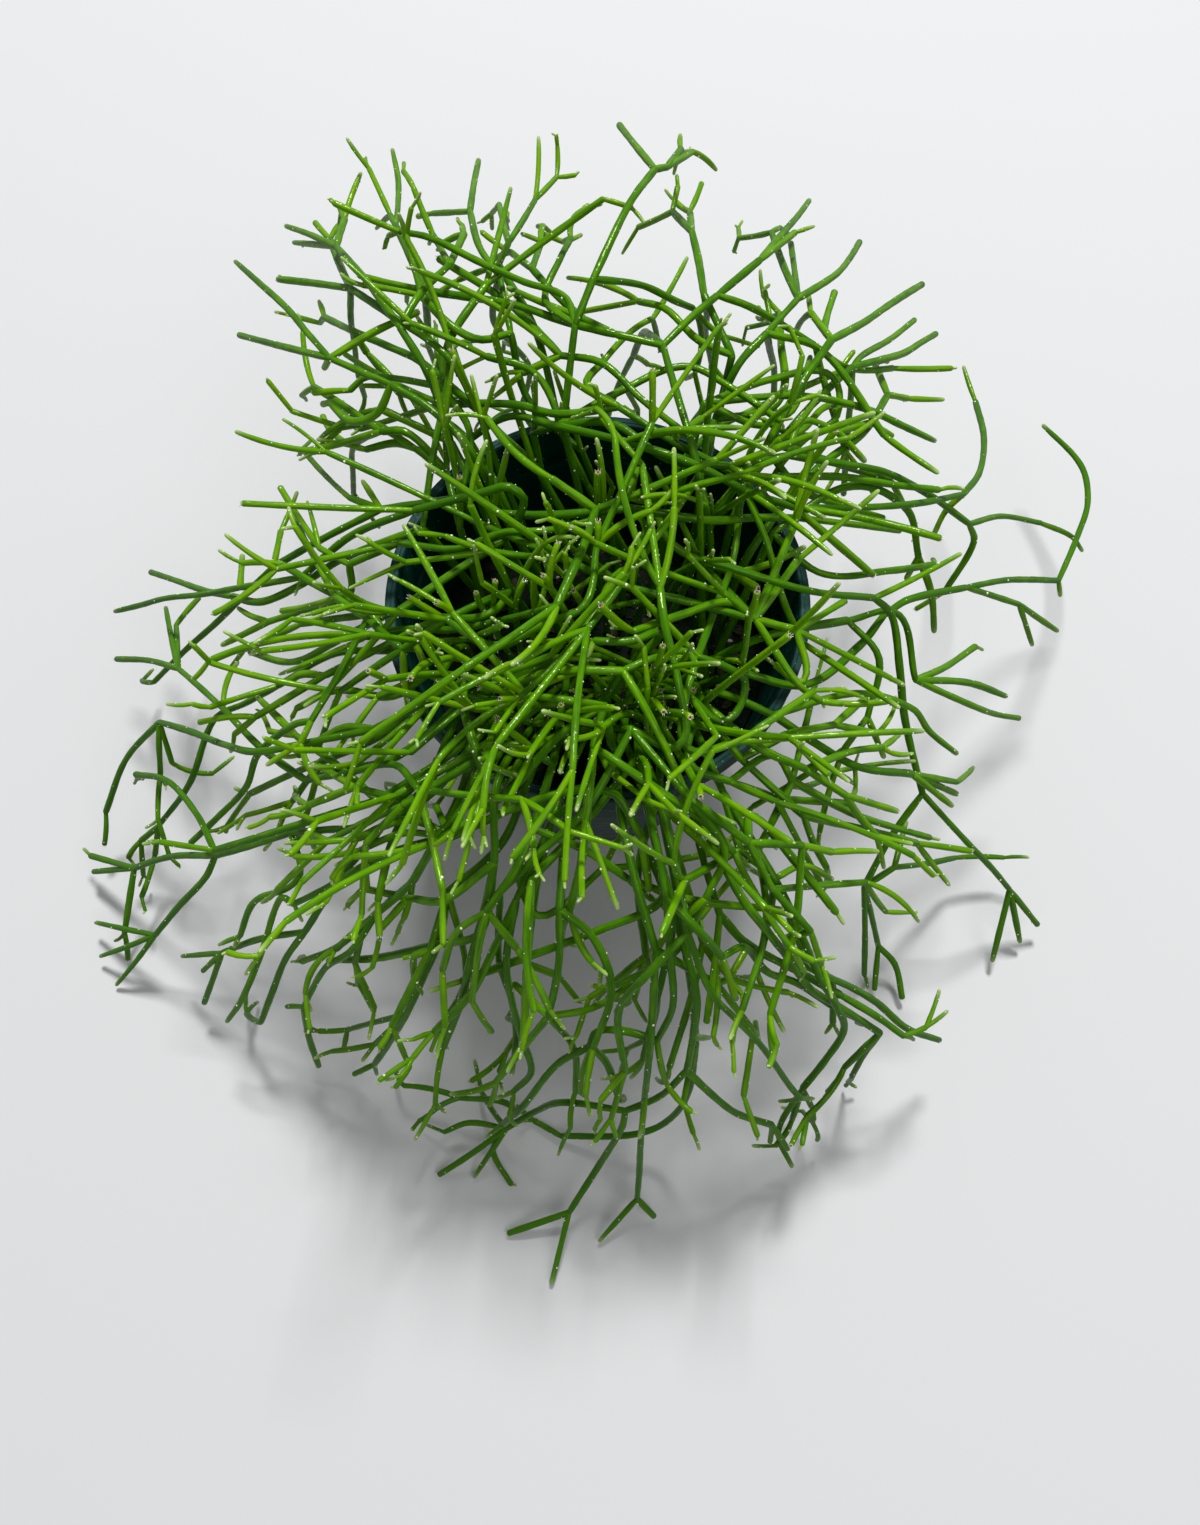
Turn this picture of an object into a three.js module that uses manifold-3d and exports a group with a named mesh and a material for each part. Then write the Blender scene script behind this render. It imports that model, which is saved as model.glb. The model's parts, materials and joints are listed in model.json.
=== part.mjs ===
// A mistletoe cactus in its nursery pot: thin round stems that rise from the soil, arch over the
// rim and trail down to the surface that the pot stands on. Millimetres, +Z up, the origin at the
// centre of the pot's base.
import * as THREE from 'three';
import { mergeVertices } from 'three/addons/utils/BufferGeometryUtils.js';
import Module from 'manifold-3d';

// ---- driving dimensions of the pot and its soil
const POT_HEIGHT = 115;
const RIM_RADIUS = 63.5;
const BASE_RADIUS = 45;
const WALL = 1.4;
const RIM_BAND_HEIGHT = 10;
const RIM_BAND_WIDTH = 3.2;
const RIM_EDGE = 1;
const DRAIN_HOLES = 8;
const DRAIN_HOLE_RADIUS = 4;
const DRAIN_CIRCLE = 35;
const DRAIN_HOLE_SIDES = 12;
const POT_SIDES = 40;
const SOIL_TOP = 77;
const SOIL_DOME = 1.5;
const SOIL_SHOULDER = 8;
const SOIL_SIDES = 30;
const SOCKET_SIDES = 6;
const GAP = 0.3;
const CUT_MARGIN = 1;

// ---- driving dimensions of the stems
const STEM_BASE_RADIUS = 1.25;
const STEM_TIP_RADIUS = 1;
const TAPER_LENGTH = 170;
const STEM_SIDES = 4;
const FACET_GROWTH = 1.15;
const PLANTED_DEPTH = 12;
const UPRIGHT_LENGTH = 8;
const CLIMB_REACH = 46;
const CLIMB_MARGIN = 10;
const CLIMB_HEIGHT = POT_HEIGHT + 9;
const KNOT_STEP = 21;
const FORK_KINK = 0.95;
const PLAIN_KINK = 0.35;
const RISE_SHARE = 0.5;
const BOW_SHARE = 0.03;
const BOW_FROM_LENGTH = 18;
const STEM_CLEARANCE = 0.9;
const WALL_CLEARANCE = 0.8;
const FLOOR_CLEARANCE = 0.3;

// ---- the stems. A stem is a list that starts with its [x, y] place in the soil and goes on with
// the [x, y, z] points that it passes through. A nested list is a branch that leaves the stem at
// the point before it, and it may have branches of its own.
const STEMS = {
  stem_back_left_1: [[-12, 12], [-28, 25, 118], [-36, 31, 146], [-47, 42, 150], [-59, 50, 151],
      [[-64, 46, 143], [-73, 48, 136], [-81, 58, 131]], [-79, 64, 145], [[-96, 90, 134],
      [-122, 127, 112]], [[-83, 68, 135]], [[-66, 72, 148], [-53, 76, 152]], [-119, 100, 109]],
  stem_back_left_2: [[-19, 23], [-32, 39, 122], [-37, 45, 143], [[-55, 64, 140], [-79, 86, 127],
        [[-75, 81, 123]], [-93, 105, 110]], [-44, 57, 151], [-61, 73, 150], [-75, 91, 140],
      [[-104, 114, 117]], [[-82, 101, 100], [-86, 108, 62]], [-89, 131, 116]],
  stem_back_left_3: [[-27, 12], [-42, 46, 126], [[-63, 56, 128]], [-46, 54, 147], [-54, 65, 152],
      [[-49, 77, 152], [-42, 92, 147], [[-49, 111, 138]], [-40, 115, 134]], [-66, 85, 147],
    [-81, 112, 131], [[-105, 141, 108]], [[-104, 140, 102]], [-82, 133, 120]],
  stem_back_left_4: [[-35, 2], [-44, 38, 124], [[-54, 46, 124], [[-68, 56, 122], [-79, 59, 116]],
      [-61, 50, 121], [-71, 51, 116]], [-55, 46, 132], [-64, 48, 130], [[-76, 59, 126],
      [-89, 73, 117]], [[-80, 62, 98], [-88, 70, 58]], [-91, 52, 113]],
  stem_back_1: [[-3, 25], [-36, 62, 125], [-46, 78, 145], [-51, 84, 149], [[-56, 96, 108],
      [-55, 108, 66]], [-60, 110, 139], [-64, 121, 134], [[-67, 130, 129]], [-68, 157, 116],
    [-72, 176, 110]],
  stem_back_2: [[6, 34], [-21, 60, 129], [-25, 71, 146], [[-34, 67, 147], [-42, 71, 147],
      [-51, 83, 145]], [-28, 89, 148], [[-33, 101, 112], [-24, 114, 70], [-29, 117, 42]],
    [-35, 104, 143], [-40, 128, 132], [[-55, 143, 115]], [-41, 173, 108]],
  stem_back_3: [[12, 25], [-11, 47, 132], [-19, 73, 144], [-31, 101, 139], [-28, 112, 135],
      [[-33, 142, 119]], [-21, 144, 119]],
  stem_back_4: [[0, 16], [-10, 41, 140], [[-18, 53, 148], [-32, 58, 149]], [-6, 62, 158],
      [[-15, 76, 153], [-11, 91, 152], [-8, 105, 145]], [[-9, 73, 155], [-21, 80, 152],
      [-50, 100, 147], [-59, 103, 146]], [-1, 73, 164], [[13, 80, 153], [23, 82, 144],
      [29, 85, 137]], [9, 98, 165], [17, 118, 158], [[7, 159, 135]], [21, 123, 154],
      [[30, 142, 141]], [26, 140, 144]],
  stem_back_5: [[32, 8], [34, 9, 104], [30, 15, 142], [25, 31, 152], [[12, 45, 150], [1, 56, 152],
      [-11, 61, 150], [[-29, 89, 144], [-49, 107, 140]], [-22, 58, 146]], [18, 62, 151],
      [[4, 65, 152], [[-24, 79, 148], [-50, 88, 143], [-65, 94, 140], [-74, 99, 137]],
      [-7, 69, 152], [[-15, 80, 149], [-23, 94, 145], [[-21, 114, 134]], [-31, 112, 132]],
      [-22, 78, 149], [-32, 87, 144]], [[14, 92, 118], [8, 107, 74], [[15, 112, 48]],
      [2, 110, 38]], [27, 72, 151], [35, 81, 149], [[44, 80, 146], [54, 79, 140], [67, 77, 131],
        [[78, 48, 119]], [78, 75, 123], [87, 78, 117], [98, 86, 107]], [49, 99, 143],
      [[63, 122, 129]], [59, 121, 130], [73, 155, 108]],
  stem_back_6: [[20, 32], [36, 53, 123], [40, 64, 144], [[30, 68, 146], [21, 78, 147],
      [13, 85, 142]], [32, 83, 147], [[36, 98, 110], [42, 108, 64], [35, 112, 34]],
    [30, 116, 136], [[25, 137, 122]], [31, 139, 120]],
  stem_back_7: [[29, 24], [34, 52, 130], [[51, 55, 136], [53, 82, 132], [[51, 92, 127]],
      [54, 95, 127]], [40, 60, 143], [49, 70, 144], [[58, 84, 108], [66, 92, 60]], [[66, 69, 135],
      [84, 46, 125]], [60, 88, 137], [[57, 133, 115]], [[64, 132, 111]], [75, 108, 124],
    [89, 139, 104]],
  stem_back_right_1: [[37, 16], [50, 40, 137], [[60, 46, 134], [70, 59, 129], [85, 66, 119]],
      [[69, 41, 127], [91, 40, 118]], [59, 56, 141], [68, 72, 137], [[64, 88, 129]],
      [[67, 79, 133], [73, 100, 124]], [81, 87, 126], [110, 126, 97]],
  stem_back_right_2: [[22, 12], [52, 42, 128], [[61, 32, 124], [90, 31, 108]], [66, 58, 130],
    [79, 75, 125], [[83, 82, 121], [108, 114, 98]], [[84, 76, 92], [90, 74, 52]], [101, 95, 105],
    [118, 116, 88]],
  stem_back_right_3: [[39, 1], [66, 36, 128], [81, 51, 124], [93, 74, 112], [[93, 95, 100]],
    [102, 79, 103]],
  stem_back_right_4: [[18, 19], [30, 52, 140], [[51, 64, 135], [69, 68, 133], [72, 56, 132],
      [64, 49, 132]], [[46, 48, 135], [53, 51, 133], [61, 58, 130], [68, 79, 127]], [57, 57, 136],
    [78, 60, 126], [93, 61, 115], [107, 64, 102]],
  stem_right_1: [[-20, 15], [-39, 50, 123], [-26, 48, 138], [-12, 38, 148], [7, 30, 152],
    [25, 24, 150], [40, 19, 144], [[46, 6, 140], [52, -8, 130], [58, -17, 122]], [55, 18, 136],
      [[82, 9, 112]], [73, 21, 130], [95, 29, 118], [116, 42, 100], [[112, 38, 95],
      [109, 32, 87]], [126, 57, 89], [134, 80, 75], [138, 105, 60]],
  stem_right_2: [[-11, 30], [-20, 48, 130], [-12, 43, 142], [[25, 61, 145], [52, 44, 143]],
    [4, 40, 148], [20, 27, 150], [37, 26, 148], [55, 33, 141], [[59, 45, 140], [70, 46, 133],
        [[82, 54, 126]], [80, 42, 123]], [73, 34, 134], [89, 37, 124], [108, 40, 107],
    [123, 41, 91], [[127, 39, 81], [120, 28, 68]], [140, 53, 75], [160, 60, 58], [175, 60, 48],
    [181, 57, 42]],
  stem_right_3: [[37, -8], [51, 17, 126], [[66, 7, 120], [89, 13, 110], [107, 22, 97]],
    [75, 33, 126], [96, 34, 111], [103, 26, 95], [[100, 21, 88]], [109, 18, 85], [113, 10, 71]],
  stem_right_4: [[26, -19], [39, -28, 128], [58, -30, 123], [77, -14, 114], [86, -3, 111],
    [95, 4, 107], [118, 15, 93], [[143, 20, 70], [[154, 14, 49]], [165, 21, 46]], [135, 24, 80],
    [163, 36, 56], [[165, 32, 51]], [175, 58, 50], [182, 74, 46], [183, 92, 42], [174, 115, 34]],
  stem_right_5: [[12, 6], [28, -6, 150], [56, -10, 140], [79, -4, 123], [86, -6, 115],
    [94, -30, 92], [103, -48, 73], [[95, -59, 63], [88, -73, 49], [[95, -96, 8]], [[99, -66, 47],
        [[105, -49, 45]], [128, -56, 20]], [99, -87, 16], [[99, -101, 5]], [106, -93, 10],
      [109, -104, 4]], [123, -60, 53], [144, -69, 26], [[142, -91, 5]], [[153, -84, 5]],
    [159, -78, 8]],
  stem_right_6: [[15, -23], [48, -22, 134], [73, -11, 121], [[83, -20, 114], [81, -34, 103],
        [[74, -43, 100]], [88, -43, 91]], [91, -4, 110], [98, -19, 96], [[111, -10, 85],
      [125, 2, 74]], [[120, -13, 79], [138, -11, 62]], [122, -20, 76], [145, -15, 52]],
  stem_right_7: [[24, -28], [48, -40, 126], [[73, -31, 118], [92, -31, 105], [99, -35, 96],
      [111, -38, 83]], [75, -51, 114], [95, -48, 97], [[112, -53, 79]], [[114, -45, 79]],
    [116, -47, 72]],
  stem_right_8: [[5, -15], [25, -42, 140], [[34, -48, 138], [40, -38, 140], [34, -35, 146],
      [27, -33, 148], [[38, 2, 134], [41, 27, 136]], [20, -34, 150]], [41, -56, 131],
      [[53, -50, 130], [[63, -61, 126]], [68, -44, 121], [[80, -32, 112]], [83, -42, 108]],
    [59, -68, 121], [[63, -73, 111], [68, -78, 102]], [81, -66, 100], [101, -65, 81]],
  stem_front_right_1: [[10, -31], [24, -70, 140], [[33, -97, 124], [[41, -102, 114],
        [61, -107, 93], [86, -116, 70], [96, -121, 61]], [29, -123, 105]], [36, -93, 133],
    [52, -105, 107], [[61, -111, 92], [73, -114, 77], [88, -119, 58], [[80, -128, 39]],
      [85, -130, 26]], [67, -109, 88], [86, -114, 63], [98, -120, 48], [114, -122, 28]],
  stem_front_right_2: [[18, -16], [33, -66, 134], [[38, -81, 129], [[22, -93, 144]],
      [47, -87, 121], [[56, -82, 115], [66, -84, 106]], [[57, -102, 97]], [46, -96, 110],
      [44, -109, 95]], [48, -92, 120], [59, -109, 97], [71, -120, 70], [63, -136, 44],
      [[68, -141, 30]], [[62, -145, 26]], [58, -149, 22], [64, -160, 10]],
  stem_front_right_3: [[6, -23], [16, -71, 144], [[22, -88, 131], [28, -104, 115],
        [[32, -109, 111]], [26, -115, 105], [20, -135, 83]], [24, -101, 134], [[14, -110, 129],
      [6, -118, 111], [8, -132, 88]], [31, -114, 117], [48, -126, 87], [60, -136, 60],
    [64, -139, 53]],
  stem_front_right_4: [[27, -11], [31, -40, 134], [[27, -60, 139], [38, -66, 135],
        [[49, -55, 128], [53, -60, 124], [[73, -63, 103], [103, -63, 75]], [45, -77, 115],
        [[47, -99, 117], [40, -121, 113]]], [[58, -68, 120], [[62, -63, 116]], [80, -65, 105]],
      [52, -69, 126]], [44, -52, 134], [58, -55, 126], [[72, -47, 116], [83, -43, 108]],
    [70, -60, 116], [[89, -60, 99]], [75, -64, 107], [81, -68, 100]],
  stem_front_right_5: [[5, -7], [11, -57, 148], [[23, -61, 147], [22, -47, 152], [18, -32, 158],
      [17, -22, 158]], [[-2, -76, 143], [-15, -85, 134], [-26, -93, 122], [[-28, -107, 95],
        [-25, -116, 82], [-24, -125, 71], [-26, -136, 57]]], [23, -74, 149], [[32, -83, 137],
      [27, -94, 129], [[19, -106, 112], [4, -112, 95]], [17, -101, 119]], [37, -83, 139],
      [[51, -81, 128], [[51, -101, 115], [45, -123, 103]], [60, -81, 121]], [[39, -74, 133],
      [64, -95, 110]], [44, -93, 128], [[60, -88, 108], [77, -84, 95]], [52, -101, 117],
      [[47, -103, 107], [66, -114, 78], [69, -124, 62]], [56, -108, 107]],
  stem_front_1: [[2, -38], [13, -85, 136], [[13, -92, 126], [-20, -103, 105], [-43, -109, 91]],
    [25, -115, 111], [25, -134, 79], [[42, -145, 53], [55, -148, 37]], [18, -141, 64],
    [8, -145, 53], [[7, -150, 46], [0, -161, 24], [-10, -176, 10], [[-31, -183, 2]],
      [-16, -199, 2]], [-11, -142, 44], [-21, -144, 26], [-31, -149, 16], [[-55, -164, 2]],
      [[-44, -147, 12], [-53, -150, 8]], [[-43, -165, 2]], [[-29, -142, 22], [-47, -139, 16]],
    [-36, -156, 8], [-30, -167, 2]],
  stem_front_2: [[-4, -22], [6, -75, 138], [19, -109, 125], [[37, -115, 105], [[41, -113, 101]],
      [49, -126, 87]], [18, -130, 92], [17, -140, 68], [16, -154, 40], [15, -170, 12],
      [[2, -184, 2]], [21, -176, 4]],
  stem_front_3: [[12, -12], [11, -61, 146], [[-2, -75, 137], [-18, -90, 131]], [18, -97, 141],
      [[26, -104, 136], [35, -109, 125], [[44, -105, 117], [[52, -109, 102], [62, -110, 90],
        [87, -118, 62]]], [40, -118, 109]], [20, -120, 109], [16, -128, 94], [7, -125, 93],
    [-1, -124, 87], [-3, -127, 81], [[2, -131, 70], [6, -141, 54]], [-13, -131, 68],
    [-24, -142, 47], [-32, -147, 26]],
  stem_front_4: [[-5, -30], [-7, -73, 132], [-8, -94, 126], [[1, -100, 119], [6, -112, 105],
      [1, -126, 87]], [-9, -107, 112], [-13, -120, 93], [[-23, -111, 93]], [[0, -117, 89],
      [12, -109, 85]], [[-6, -128, 70], [-6, -139, 53]], [-21, -127, 78], [-30, -136, 63]],
  stem_front_5: [[20, -9], [14, -67, 130], [[9, -86, 126], [12, -106, 104], [[4, -111, 93]],
        [[9, -116, 89]], [16, -115, 89], [14, -126, 73]], [21, -103, 116], [28, -128, 72],
    [27, -141, 46], [20, -149, 24], [9, -152, 16], [-14, -152, 5]],
  stem_front_6: [[2, -30], [-14, -74, 134], [[-19, -89, 121], [-23, -107, 97], [[-14, -109, 87]],
      [-25, -121, 73]], [[1, -71, 143], [11, -83, 137], [[19, -102, 115], [17, -115, 103],
        [12, -136, 79]], [14, -94, 126]], [-25, -93, 124], [[-40, -112, 97], [-52, -121, 82]],
    [-28, -106, 107], [-23, -133, 59], [-29, -138, 48]],
  stem_front_7: [[-10, -8], [-10, -59, 138], [[-15, -77, 137], [[-19, -85, 130], [-15, -98, 122],
        [-10, -98, 120], [4, -85, 118]], [-2, -82, 135], [9, -88, 130], [[25, -93, 130],
        [51, -94, 123]], [17, -92, 124]], [[-20, -54, 142], [-34, -59, 138], [-48, -67, 135],
        [[-73, -72, 109], [[-78, -69, 105]], [-91, -82, 91]], [-59, -75, 126]], [-16, -82, 133],
    [-26, -94, 123], [[-35, -98, 114], [-40, -106, 101]], [[-19, -101, 110]], [-28, -100, 118],
    [-32, -114, 97]],
  stem_front_left_1: [[-21, -29], [-39, -76, 130], [[-52, -72, 129], [-66, -76, 125]],
    [-52, -78, 124], [-63, -80, 114], [-89, -86, 89], [-95, -83, 83], [-115, -108, 45],
    [-124, -114, 30]],
  stem_front_left_2: [[-11, -17], [-33, -69, 137], [-41, -76, 132], [[-47, -68, 133],
      [-64, -60, 125], [[-76, -51, 116]], [-79, -62, 114]], [-52, -84, 117], [-65, -89, 103],
      [[-80, -96, 85]], [-74, -98, 91], [-85, -101, 74], [-96, -110, 51], [-98, -126, 14]],
  stem_front_left_3: [[-12, -34], [-26, -79, 123], [-41, -91, 111], [[-38, -112, 89],
      [-47, -126, 72]], [[-45, -104, 98], [[-50, -105, 94]], [-58, -123, 78]], [-46, -102, 93],
    [-59, -118, 64], [[-84, -119, 30]], [[-75, -130, 26]], [-72, -125, 43]],
  stem_front_left_4: [[-4, -13], [-25, -65, 141], [-27, -84, 132], [[-33, -98, 110],
      [-48, -99, 97], [-68, -100, 79], [-87, -98, 62]], [[-43, -92, 120], [-56, -90, 110],
        [[-65, -97, 101]], [-71, -85, 99]], [-35, -106, 105], [-40, -116, 85], [-47, -126, 66]],
  stem_front_left_5: [[-29, -25], [-41, -65, 123], [-55, -85, 109], [-71, -94, 93],
      [[-76, -103, 78]], [-81, -99, 82], [-95, -101, 67]],
  stem_left_1: [[-25, -9], [-33, -37, 126], [[-14, -27, 123], [7, -24, 119], [[16, -44, 130],
        [25, -70, 149]]], [-55, -54, 123], [-85, -54, 108], [[-53, -57, 132], [-45, -66, 137]],
    [-102, -41, 97], [-118, -24, 85], [-141, -2, 65], [[-157, 32, 42]], [[-150, 22, 48]],
    [-157, 7, 51], [-175, 14, 36]],
  stem_left_2: [[-33, -6], [-36, -19, 128], [-57, -20, 122], [[-66, -7, 122], [-80, 3, 115],
      [-94, 14, 109]], [-78, -17, 113], [-99, -22, 100], [-126, -25, 78], [-138, -40, 59],
    [-155, -49, 37], [[-164, -52, 28]], [-160, -56, 24]],
  stem_left_3: [[-17, -13], [-35, -37, 134], [[-23, -40, 146], [-11, -37, 150]], [[-34, -48, 140],
      [-30, -61, 142], [-28, -67, 140]], [-60, -47, 125], [[-72, -44, 118], [-86, -49, 110]],
    [-98, -45, 103], [-128, -29, 77], [-145, -20, 62], [[-146, -24, 59], [-149, -33, 46]],
      [[-143, -31, 52]], [-164, -26, 40], [-177, -39, 20]],
  stem_left_4: [[-22, -20], [-41, -48, 124], [-64, -63, 115], [[-76, -54, 114], [-91, -42, 106],
        [[-101, -38, 99]], [-107, -25, 95]], [-94, -67, 97], [-118, -68, 77], [-127, -54, 68],
    [-142, -39, 56], [-160, -31, 39]],
  stem_left_5: [[-29, -16], [-43, -57, 125], [[-54, -75, 119], [-58, -92, 110]], [-64, -70, 114],
    [-91, -67, 93], [[-88, -80, 91], [-106, -84, 73], [-114, -92, 58]], [-122, -67, 66],
      [[-127, -72, 58], [-153, -85, 26], [[-182, -77, 8]], [[-180, -89, 5]], [-174, -99, 2]],
    [-140, -63, 50], [-163, -62, 28], [[-185, -54, 14]], [[-185, -59, 10]], [-170, -82, 12]],
  stem_left_6: [[-14, -25], [-43, -67, 128], [-59, -75, 118], [-76, -86, 97], [-89, -95, 76],
      [[-98, -101, 62], [-113, -117, 30]], [-108, -94, 59], [-125, -95, 41], [[-145, -93, 22]],
      [[-138, -108, 14]], [-135, -99, 28]],
  stem_left_7: [[-35, 10], [-52, 17, 126], [[-44, 53, 143], [-43, 63, 147]], [-78, 13, 115],
    [-107, 7, 97], [-133, 21, 76], [-164, 43, 47]],
  stem_left_8: [[-12, 2], [-27, 10, 132], [[-56, -12, 131]], [-20, 12, 150], [-24, 14, 154],
    [-29, 14, 152], [-52, 16, 138], [-73, 16, 123], [-90, 9, 110], [-113, 13, 95],
      [[-116, 29, 87]], [-148, 24, 65], [-176, 31, 40]],
  stem_left_9: [[-29, 20], [-40, 24, 130], [[-36, 40, 138], [-43, 52, 143], [[-68, 65, 130],
        [-74, 63, 126]], [-40, 64, 146], [-29, 82, 147]], [-53, 26, 124], [-66, 28, 118],
      [[-77, 35, 113]], [[-73, 40, 115]], [-85, 24, 108], [-104, 21, 95], [[-104, 36, 91]],
    [-115, 17, 85], [-145, 10, 54], [-162, 6, 35]],
  stem_left_10: [[-37, -13], [-48, -35, 120], [-66, -43, 110], [-83, -46, 99], [[-94, -54, 85]],
      [[-94, -47, 90], [-111, -48, 73]], [-87, -54, 90], [-96, -67, 71]],
  stem_crown_1: [[34, -18], [30, 6, 128], [43, -18, 140], [[54, 7, 148]], [[55, -2, 144]],
      [[34, -13, 146]], [[6, -12, 148], [-10, -3, 146], [-25, 7, 140], [-37, 17, 132]],
      [[36, -15, 144], [23, -23, 152], [10, -31, 158]], [[55, -34, 133], [62, -37, 128]],
    [55, -20, 136], [[57, -34, 132], [49, -30, 134]], [71, -7, 128]],
  stem_crown_2: [[-25, 0], [-30, 18, 132], [-12, 9, 146], [11, 10, 150], [[14, 0, 153],
      [10, -8, 154], [7, -16, 156], [-3, -32, 158]], [31, 10, 146], [58, 20, 130], [76, 23, 121],
    [94, 27, 110]],
  stem_crown_3: [[3, 7], [-2, 6, 128], [[8, -11, 146], [9, -8, 152], [[4, -13, 156],
        [1, -21, 158]], [18, 6, 150], [29, 27, 142]], [-1, 10, 152], [[-13, 16, 158]],
      [[8, 12, 154], [[12, 23, 149], [20, 7, 138], [38, 0, 132]], [13, 13, 150]], [-4, -6, 162],
    [-11, -26, 166], [[-26, -19, 143], [-42, -17, 130], [-56, -16, 126], [-66, -19, 127]]],
  stem_crown_4: [[-3, -3], [1, -41, 136], [[11, -32, 150], [15, -28, 156], [7, -32, 160],
      [-2, -32, 160], [[-21, -33, 140], [-35, -37, 133], [-52, -53, 135]], [-4, -36, 158]],
      [[-15, -43, 142], [[-32, -52, 132], [-53, -66, 134]], [-32, -38, 136], [-47, -29, 130],
        [[-58, -33, 123], [-76, -28, 115], [-89, -31, 108]], [-62, -33, 123]], [6, -40, 156],
      [[-6, -40, 156], [-15, -39, 150], [-26, -39, 138]], [[14, -37, 156], [24, -34, 150],
        [[22, -46, 150], [22, -59, 146], [36, -56, 142]]], [12, -51, 154], [18, -62, 147],
    [22, -71, 142]],
  stem_crown_5: [[13, -2], [6, -51, 132], [5, -44, 148], [[-6, -44, 152], [-15, -42, 150]],
      [[-6, -51, 146], [[-20, -64, 138], [-38, -77, 137]]], [1, -56, 146], [[4, -60, 150],
      [20, -71, 146], [27, -75, 140], [35, -82, 133]], [-1, -66, 143], [[-18, -69, 139],
      [-41, -76, 132], [[-46, -66, 126]], [-54, -71, 125], [-68, -73, 115]], [-3, -82, 135],
    [-7, -94, 120]],
  stem_crown_6: [[-17, -4], [-24, -7, 134], [[-30, -19, 142], [-44, -15, 134], [[-80, -24, 115],
        [[-88, -22, 111], [-93, -23, 107]], [-103, -32, 102]], [-61, -9, 124], [[-93, -2, 101],
        [-115, -3, 84]], [[-96, -12, 95], [-115, -2, 80]], [-73, -4, 118]], [-41, -19, 140],
      [[-26, -31, 150], [-13, -27, 156], [-3, -23, 158], [0, -5, 156]], [-53, -25, 134],
      [[-53, -35, 125]], [[-64, -28, 125], [-73, -31, 118]], [-64, -14, 130], [[-79, -42, 122],
        [[-85, -42, 118], [[-100, -44, 98], [-107, -50, 86], [-132, -61, 61]]], [-82, -48, 120]],
    [-75, -4, 123]],
  stem_crown_7: [[8, 14], [1, 16, 138], [-14, 7, 148], [-27, 7, 146], [-39, 5, 140],
    [-58, 12, 130], [-73, 8, 124], [[-75, 4, 113], [-104, 3, 95], [[-111, 7, 91], [-117, 12, 87]],
      [-123, 1, 81]], [-83, 15, 121]],
  stem_crown_8: [[21, 2], [34, 16, 130], [41, 22, 140], [[72, 33, 127], [104, 39, 111]],
    [20, 27, 150], [[29, 37, 146]], [5, 37, 152], [[-4, 46, 150], [1, 56, 148]], [-12, 36, 150],
    [-25, 42, 146], [-48, 50, 135]],
};

// ---- growth: every stem becomes a chain of knots, about KNOT_STEP apart, each linked to its parent
const knots = [];
const RANDOM_FACTOR = 16807;
const RANDOM_MODULUS = 2147483647;
let seed = 20261;

/** A repeatable random number from 0 to 1. */
function random() {
  seed = (seed * RANDOM_FACTOR) % RANDOM_MODULUS;
  return seed / RANDOM_MODULUS;
}

const isPoint = (item) => typeof item[0] === 'number';

/** Adds one knot and returns its index. */
function addKnot(place, parent, stem, fixed) {
  const before = parent < 0 ? null : knots[parent];
  const along = before ? before.along + before.place.distanceTo(place) : 0;
  const taper = Math.exp(-along / TAPER_LENGTH);
  const radius = STEM_TIP_RADIUS + (STEM_BASE_RADIUS - STEM_TIP_RADIUS) * taper;
  knots.push({ place, start: place.clone(), parent, stem, fixed, along, radius });
  return knots.length - 1;
}

/** The direction of a line of points at one of them, kinked towards its span, most so at a fork. */
function directionAt(line, index, span, forks) {
  const before = line[Math.max(index - 1, 0)];
  const after = line[Math.min(index + 1, line.length - 1)];
  const smooth = after.clone().sub(before).normalize();
  const chord = line[span + 1].clone().sub(line[span]).normalize();
  return smooth.lerp(chord, forks.has(index) ? FORK_KINK : PLAIN_KINK);
}

/** Grows a path from a knot and then its branches. The path's points are spans of a smooth curve. */
function growPath(path, from, stem) {
  const line = [knots[from].place.clone()];
  const forks = new Set();
  for (const item of path) {
    if (isPoint(item)) line.push(new THREE.Vector3(...item));
    else forks.add(line.length - 1);
  }
  const knotOf = [from];
  for (let span = 0; span + 1 < line.length; span += 1) {
    const start = line[span];
    const end = line[span + 1];
    const length = start.distanceTo(end);
    const rising = span === 0 && knots[from].fixed;
    const ahead = end.clone().sub(start).normalize();
    ahead.z += RISE_SHARE;
    const leave = rising ? ahead.normalize() : directionAt(line, span, span, forks);
    const arrive = directionAt(line, span + 1, span, forks);
    const bow = new THREE.Vector3(random() - 0.5, random() - 0.5, random() - 0.5);
    bow.multiplyScalar(length < BOW_FROM_LENGTH ? 0 : length * BOW_SHARE);
    const steps = Math.max(1, Math.floor(length / KNOT_STEP + 0.5));
    let last = knotOf[span];
    for (let step = 1; step <= steps; step += 1) {
      const t = step / steps;
      const place = new THREE.Vector3()
        .addScaledVector(start, (1 + 2 * t) * (1 - t) * (1 - t))
        .addScaledVector(leave, length * t * (1 - t) * (1 - t))
        .addScaledVector(end, t * t * (3 - 2 * t))
        .addScaledVector(arrive, length * t * t * (t - 1))
        .addScaledVector(bow, 4 * t * (1 - t));
      last = addKnot(place, last, stem, false);
    }
    knotOf.push(last);
  }
  let reached = 0;
  for (const item of path) {
    if (isPoint(item)) reached += 1;
    else growPath(item, knotOf[reached], stem);
  }
}

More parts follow.
